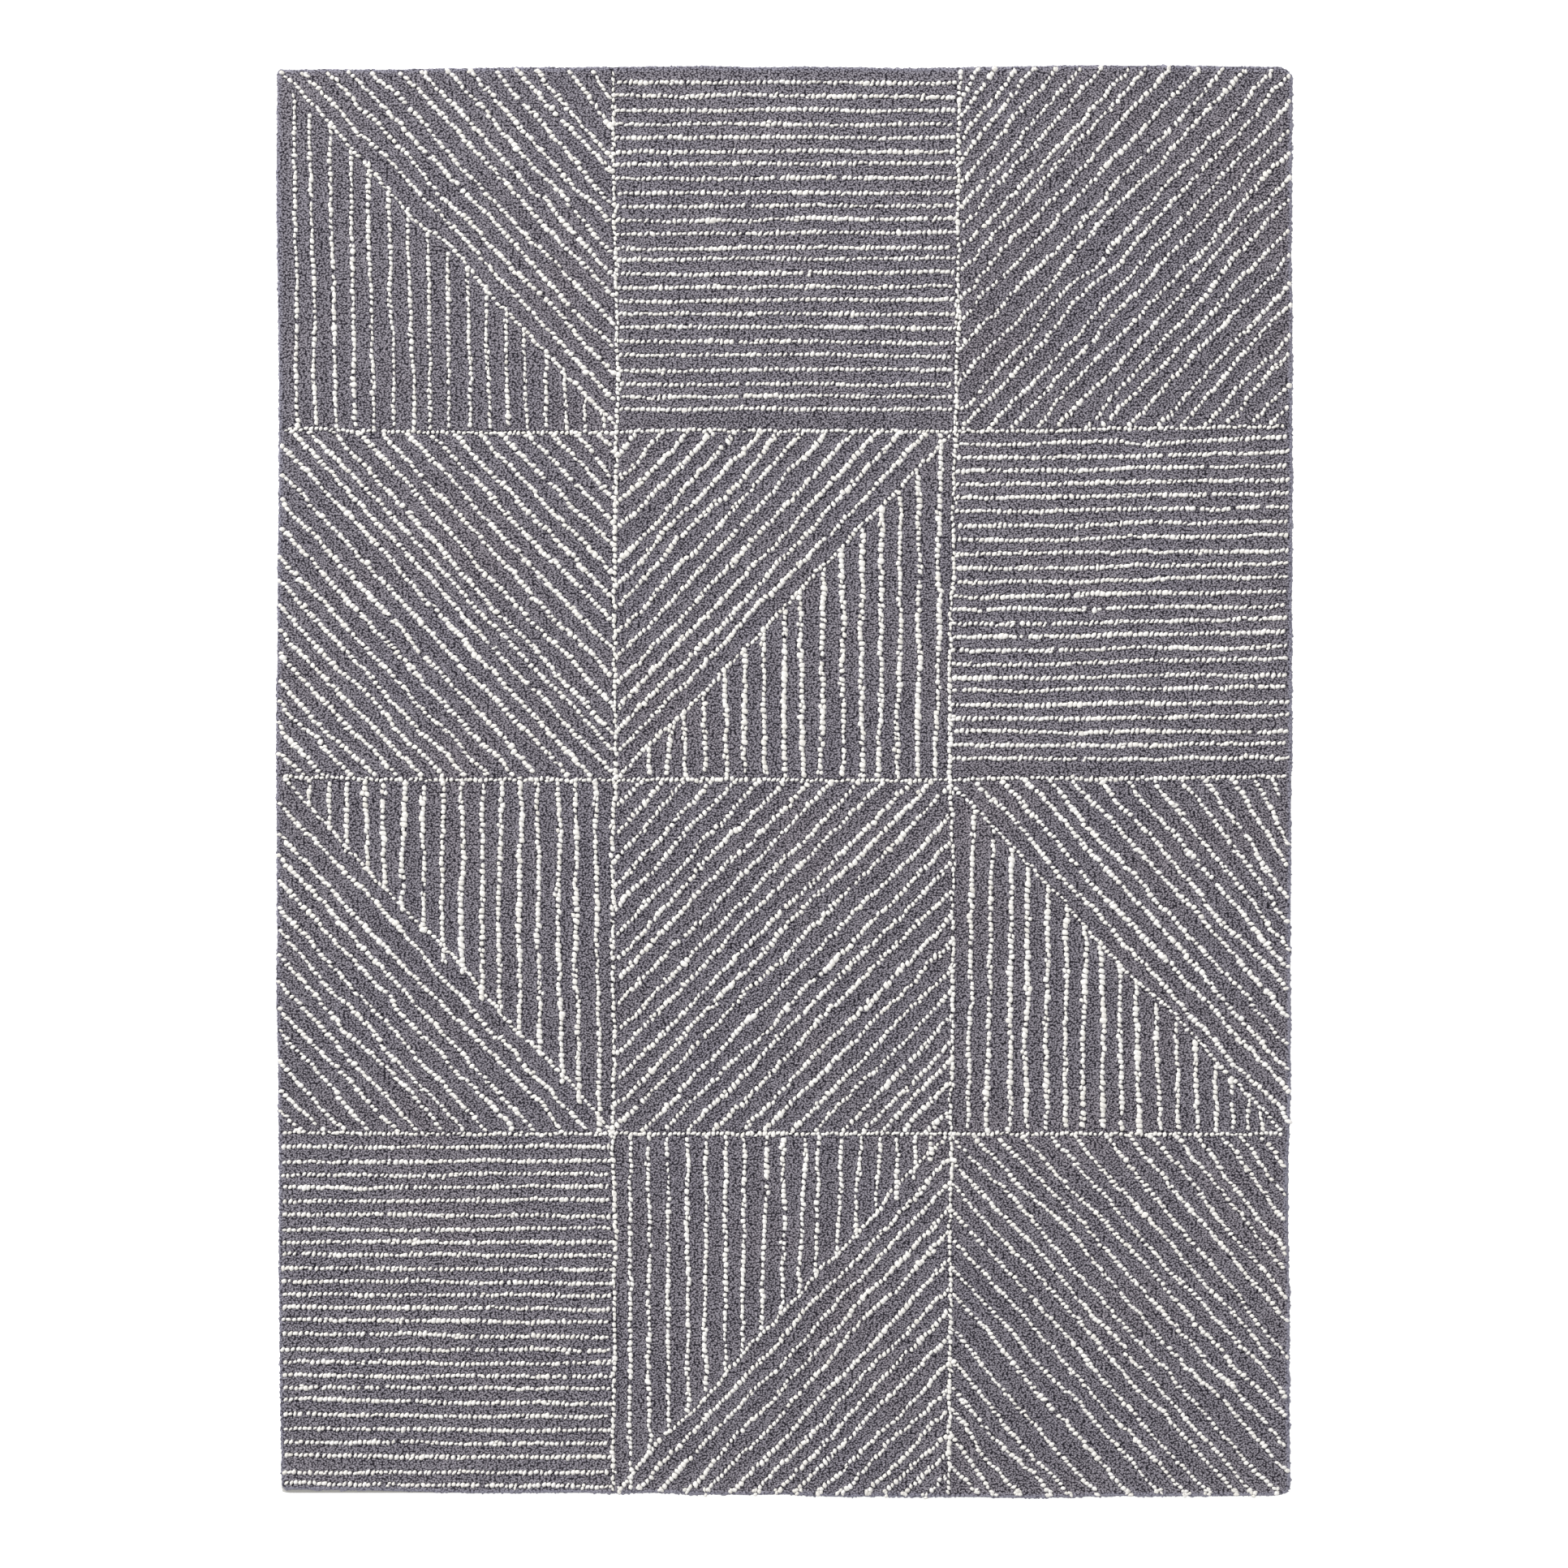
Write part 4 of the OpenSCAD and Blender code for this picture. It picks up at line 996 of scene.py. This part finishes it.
def mat_ivory():
    m = Nodes("ivory_yarn")
    shade = m.attr("yarn_shade")
    n1 = m.noise(3.0, 2.0, 0.6)
    n2 = m.noise(60, 2.0, 0.5)
    v = m.math("ADD", m.math("MULTIPLY", shade, 0.06), n1)
    col = m.ramp(v, [(0.15, (0.566, 0.542, 0.499)), (0.5, (0.770, 0.755, 0.737)), (0.8, (0.846, 0.835, 0.827))])
    # darker towards the ends and foot of each loop: painted shade, with some grey pile fibre mixed in
    deep_shade_and_fuzz = m.math("POWER", m.attr("yarn_deep_shade_and_fuzz"), 1.6)
    col = m.mix(m.math("MULTIPLY", deep_shade_and_fuzz, 0.78), col, (0.300, 0.286, 0.270))
    warm = m.ramp(n2, [(0.3, (1.0, 1.0, 1.0)), (0.7, (0.985, 0.975, 0.955))])
    col = m.mix(1.0, col, warm, "MULTIPLY")
    m.link(col, m.bsdf.inputs["Base Color"])
    m.link(m.remap(n1, 0.2, 0.8, 0.80, 0.95), m.bsdf.inputs["Roughness"])
    m.set(spec=0.14, sheen=0.06, sheen_rough=0.5)
    strand = m.noise(0.9, 2.0, 0.6, vec=m.mapped(scale=(1.0, 0.45, 1.0), rot=(0, 0, 0.6)))
    m.bump(m.math("ADD", strand, m.math("MULTIPLY", m.noise(1.8, 1.0, 0.5), 0.8)), 0.45, 0.8)
    return m.mat


def mat_weave(name, light, dark, mm, bump, rough, diagonal=False, blotch=0.06):
    """Plain weave, or a twill, from two crossed sets of bands."""
    m = Nodes(name)
    rot = (0, 0, math.radians(45)) if diagonal else (0, 0, 0)
    base = m.mapped(rot=rot)
    sep = m.nt.nodes.new("ShaderNodeSeparateXYZ")
    m.link(base, sep.inputs[0])
    k = 2 * math.pi / (mm * 0.001)
    wob = m.math("MULTIPLY", m.math("SUBTRACT", m.noise(mm * 2.2, 2.0, 0.5), 0.5), 1.6)
    a = m.math("SINE", m.math("ADD", m.math("MULTIPLY", sep.outputs["X"], k), wob))
    b = m.math("SINE", m.math("ADD", m.math("MULTIPLY", sep.outputs["Y"], k), wob))
    if diagonal:
        over = m.math("MULTIPLY_ADD", a, 0.5, 0.5)
    else:
        over = m.math("MULTIPLY_ADD", m.math("MULTIPLY", a, b), 0.5, 0.5)
    fibre = m.noise(mm * 0.35, 2.0, 0.6)
    v = m.math("ADD", m.math("MULTIPLY", over, 0.7), m.math("MULTIPLY", fibre, 0.3))
    col = m.ramp(v, [(0.15, dark), (0.75, light)])
    big = m.remap(m.noise(130, 3.0, 0.6), 0.3, 0.7, 1 - blotch, 1 + blotch)
    tone = m.nt.nodes.new("ShaderNodeCombineXYZ")
    for i in range(3):
        m.link(big, tone.inputs[i])
    col = m.mix(1.0, col, tone.outputs[0], "MULTIPLY")
    m.link(col, m.bsdf.inputs["Base Color"])
    m.link(m.remap(fibre, 0.2, 0.8, rough - 0.06, rough + 0.06), m.bsdf.inputs["Roughness"])
    m.set(spec=0.25)
    m.bump(v, bump, 0.9)
    return m.mat


def mat_latex():
    m = Nodes("latex")
    n1, n2 = m.noise(14, 3.0, 0.55), m.noise(3.2, 2.0, 0.6)
    col = m.ramp(n1, [(0.25, (0.44, 0.40, 0.33)), (0.75, (0.56, 0.52, 0.44))])
    m.link(col, m.bsdf.inputs["Base Color"])
    m.link(m.remap(n2, 0.2, 0.8, 0.45, 0.7), m.bsdf.inputs["Roughness"])
    m.set(spec=0.35)
    m.bump(m.math("ADD", n2, m.math("MULTIPLY", n1, 0.6)), 0.5, 0.8)
    return m.mat


pile_mat, ivory_mat = mat_pile(), mat_ivory()
primary_mat = mat_weave("primary_cloth", (0.60, 0.59, 0.56), (0.34, 0.33, 0.31), 2.4, 0.25, 0.7)
canvas_mat = mat_weave("canvas", (0.56, 0.50, 0.40), (0.27, 0.23, 0.17), 2.6, 0.40, 0.85)
tape_mat = mat_weave("tape", (0.42, 0.40, 0.38), (0.20, 0.19, 0.185), 1.5, 0.22, 0.8, diagonal=True, blotch=0.03)
label_mat = mat_weave("label", (0.82, 0.81, 0.78), (0.66, 0.65, 0.62), 0.8, 0.06, 0.5, blotch=0.01)
latex_mat = mat_latex()

# --------------------------------------------------------------------------
# The pieces
# --------------------------------------------------------------------------
for pi, panel in enumerate(PANELS):
    ob = pile_panel(panel, 700 + pi)
    finish_piece(ob, "pile_panel_" + panel, pile_mat)
    ob = loops_mesh("loops_" + panel, "loop_rows_" + panel, paths[panel], 800 + pi)
    finish_piece(ob, "loop_rows_" + panel, ivory_mat)
for li, (node, p) in enumerate(lines.items()):
    p.pitch, p.size, p.lean, p.small, p.edge, p.uneven = 8.3, (7.6, 5.9), 16, 1.0, ("w", "e"), 0.12
    p.tight, p.tone = 1.0, 0.3
    if "length" in node:
        p.pitch, p.size, p.lean, p.uneven = 9.2, (8.5, 6.95 if "left" in node else 6.5), -6, 0.15
    ob = loops_mesh(node.replace("loop_line", "line"), node, [p], 900 + li, limit=60000)
    finish_piece(ob, node, ivory_mat)


def slab(name, x0, x1, y0, y1, z0, z1, step, under, over, radius=(0, 0, 0, 0), cut=(0, 0, 0, 0)):
    """A thin sheet with a soft edge. under and over give the relief of its two faces; cut is the mitre at each end (left, right) of a strip, for its bottom and top sides."""
    nx, ny = max(int(round((x1 - x0) / step)), 2), max(int(round((y1 - y0) / step)), 2)
    xs = np.concatenate([[x0, x0 + 0.5], np.linspace(x0, x1, nx + 1)[1:-1], [x1 - 0.5, x1]])
    ys = np.concatenate([[y0, y0 + 0.15], np.linspace(y0, y1, ny + 1)[1:-1], [y1 - 0.15, y1]])
    gx, gy = np.meshgrid(xs, ys, indexing="ij")
    u = (gy - y0) / (y1 - y0)
    v = (gx - x0) / (x1 - x0)
    lo_x = x0 + cut[0] * (1 - u) + cut[1] * u
    hi_x = x1 - cut[2] * (1 - u) - cut[3] * u
    px = lo_x + v * (hi_x - lo_x)
    lo_y, hi_y = y0, y1
    py = gy.copy()
    for (sx, sy), rr in zip(((-1, 1), (1, 1), (-1, -1), (1, -1)), radius):
        if rr <= 0:
            continue
        cx, cy = (x1 - rr if sx > 0 else x0 + rr), (y1 - rr if sy > 0 else y0 + rr)
        a, b = (px - cx) * sx, (py - cy) * sy
        k = (a > 0) & (b > 0)
        f = np.maximum(a[k], b[k]) / np.maximum(np.hypot(a[k], b[k]), 1e-9)
        px[k] = cx + sx * a[k] * f
        py[k] = cy + sy * b[k] * f
    e = np.minimum.reduce([gx - x0, x1 - gx, gy - y0, y1 - gy])
    soft = np.clip(1 - e / 0.5, 0, 1) * 0.28 * (z1 - z0)
    top = z1 - soft + over(px, py) * (1 - np.clip(1 - e / 1.0, 0, 1))
    bot = z0 + soft + under(px, py) * (1 - np.clip(1 - e / 1.0, 0, 1))
    n1, n2 = px.shape
    verts = np.vstack([np.stack([px, py, top], -1).reshape(-1, 3), np.stack([px, py, bot], -1).reshape(-1, 3)])
    idx = np.arange(n1 * n2).reshape(n1, n2)
    a, b, c, d = idx[:-1, :-1].ravel(), idx[1:, :-1].ravel(), idx[1:, 1:].ravel(), idx[:-1, 1:].ravel()
    o = n1 * n2
    quads = [np.stack([a, b, c, d], 1), np.stack([a + o, d + o, c + o, b + o], 1)]
    ring = np.concatenate([idx[:-1, 0], idx[-1, :-1], idx[::-1, -1][:-1], idx[0, ::-1][:-1]])
    nx_ = np.roll(ring, -1)
    quads.append(np.stack([ring, ring + o, nx_ + o, nx_], 1))
    return build(name, verts, np.vstack(quads))


def flat(px, py):
    return np.zeros_like(px)


def cockle(amp, size, seed):
    return lambda px, py: amp * np.clip(field(px, py, size, seed), -2, 2)


def weave(amp, mm):
    return lambda px, py: amp * np.sin(px * math.pi / mm) * np.sin(py * math.pi / mm)


RAD = (5.0, 23.0, 7.0, 17.0)
cloth = slab("primary_cloth_sheet", -847, 847, -1197, 1197, 2.02, 2.78, 14, cockle(0.06, 40, 41), cockle(0.06, 30, 42), RAD)
finish_piece(cloth, "primary_cloth", primary_mat)
latex = slab("latex_coat", -846.6, 846.6, -1196.6, 1196.6, 0.86, 1.98, 14, cockle(0.05, 22, 43), cockle(0.05, 22, 44), RAD)
finish_piece(latex, "latex_layer", latex_mat)
canvas = slab("canvas_sheet", -808.8, 808.8, -1158.8, 1158.8, 0.02, 0.78, 10.0, weave(0.10, 20.0), flat)
finish_piece(canvas, "backing_canvas", canvas_mat)
IN, TW = 3.0, 38.0
g = 0.2
ax, ay = HALF_W - IN, HALF_L - IN
for node, args in {
    "edge_tape_head": (-ax, ax, ay - TW, ay, (TW + g, g, TW + g, g)),
    "edge_tape_foot": (-ax, ax, -ay, -ay + TW, (g, TW + g, g, TW + g)),
}.items():
    x0, x1, y0, y1, cut = args
    rad = (5.0, 23.0, 0, 0) if "head" in node else (0, 0, 7.0, 17.0)
    ob = slab(node + "_strip", x0, x1, y0, y1, 0.02, 0.78, 9, weave(0.05, 9.0), flat, rad, cut)
    finish_piece(ob, node, tape_mat)


def turned(ob, sign):
    """A strip built along x, turned to run along y."""
    co = np.empty(len(ob.data.vertices) * 3, np.float32)
    ob.data.vertices.foreach_get("co", co)
    co = co.reshape(-1, 3)
    co = np.stack([-sign * co[:, 1], sign * co[:, 0], co[:, 2]], 1)
    ob.data.vertices.foreach_set("co", np.ascontiguousarray(co, np.float32).ravel())
    ob.data.update()
    return ob


# built as a strip along x: its outer side is y = -ax, then turned a quarter turn
for node, sign, rad in (("edge_tape_left", -1, (0, 0, 5.0, 7.0)), ("edge_tape_right", 1, (0, 0, 17.0, 23.0))):
    ob = slab(node + "_strip", -ay, ay, -ax, -ax + TW, 0.02, 0.78, 9, weave(0.05, 9.0), flat, rad, (g, TW + g, g, TW + g))
    turned(ob, sign)
    finish_piece(ob, node, tape_mat)
label = slab("care_label_patch", -750, -690, -1100, -1060, -0.20, 0.30, 2.5, cockle(0.015, 9, 51), flat)
finish_piece(label, "care_label", label_mat)

# --------------------------------------------------------------------------
# Floor and light
# --------------------------------------------------------------------------
fm = Nodes("floor")
fcol = fm.ramp(fm.noise(900, 2.0, 0.5), [(0.3, (0.90, 0.90, 0.90)), (0.7, (0.92, 0.92, 0.92))])
fm.link(fcol, fm.bsdf.inputs["Base Color"])
fm.set(rough=0.9, spec=0.1)
fm.bsdf.inputs["Emission Color"].default_value = (1.0, 1.0, 1.0, 1.0)
fm.bsdf.inputs["Emission Strength"].default_value = 0.42  # a lit table under the rug, as for a cut-out picture
bpy.ops.mesh.primitive_plane_add(size=60.0, location=(0, 0, -0.0004))
floor = bpy.context.active_object
floor.name = "floor"
floor.data.materials.append(fm.mat)

world = bpy.data.worlds.new("studio")
scene.world = world
world.use_nodes = True
bg = world.node_tree.nodes.get("Background")
bg.inputs["Color"].default_value = (1.0, 1.0, 1.0, 1.0)
bg.inputs["Strength"].default_value = 0.55


def softbox(name, loc, aim, size, power):
    d = bpy.data.lights.new(name, "AREA")
    d.shape = "RECTANGLE"
    d.size, d.size_y = size
    d.energy = power
    o = bpy.data.objects.new(name, d)
    scene.collection.objects.link(o)
    o.location = loc
    from mathutils import Vector

    o.rotation_mode = "QUATERNION"
    o.rotation_quaternion = (Vector(aim) - Vector(loc)).to_track_quat("-Z", "Y")
    return o


softbox("key", (-9.1, 9.1, 6.3), (0, 0, 0), (3.4, 3.4), 1830)
softbox("fill", (0.6, 0.4, 8.2), (0, 0, 0), (4.5, 4.5), 267)

scene.view_settings.view_transform = "Standard"
scene.view_settings.look = "None"
scene.view_settings.exposure = 0.0
scene.view_settings.gamma = 1.0
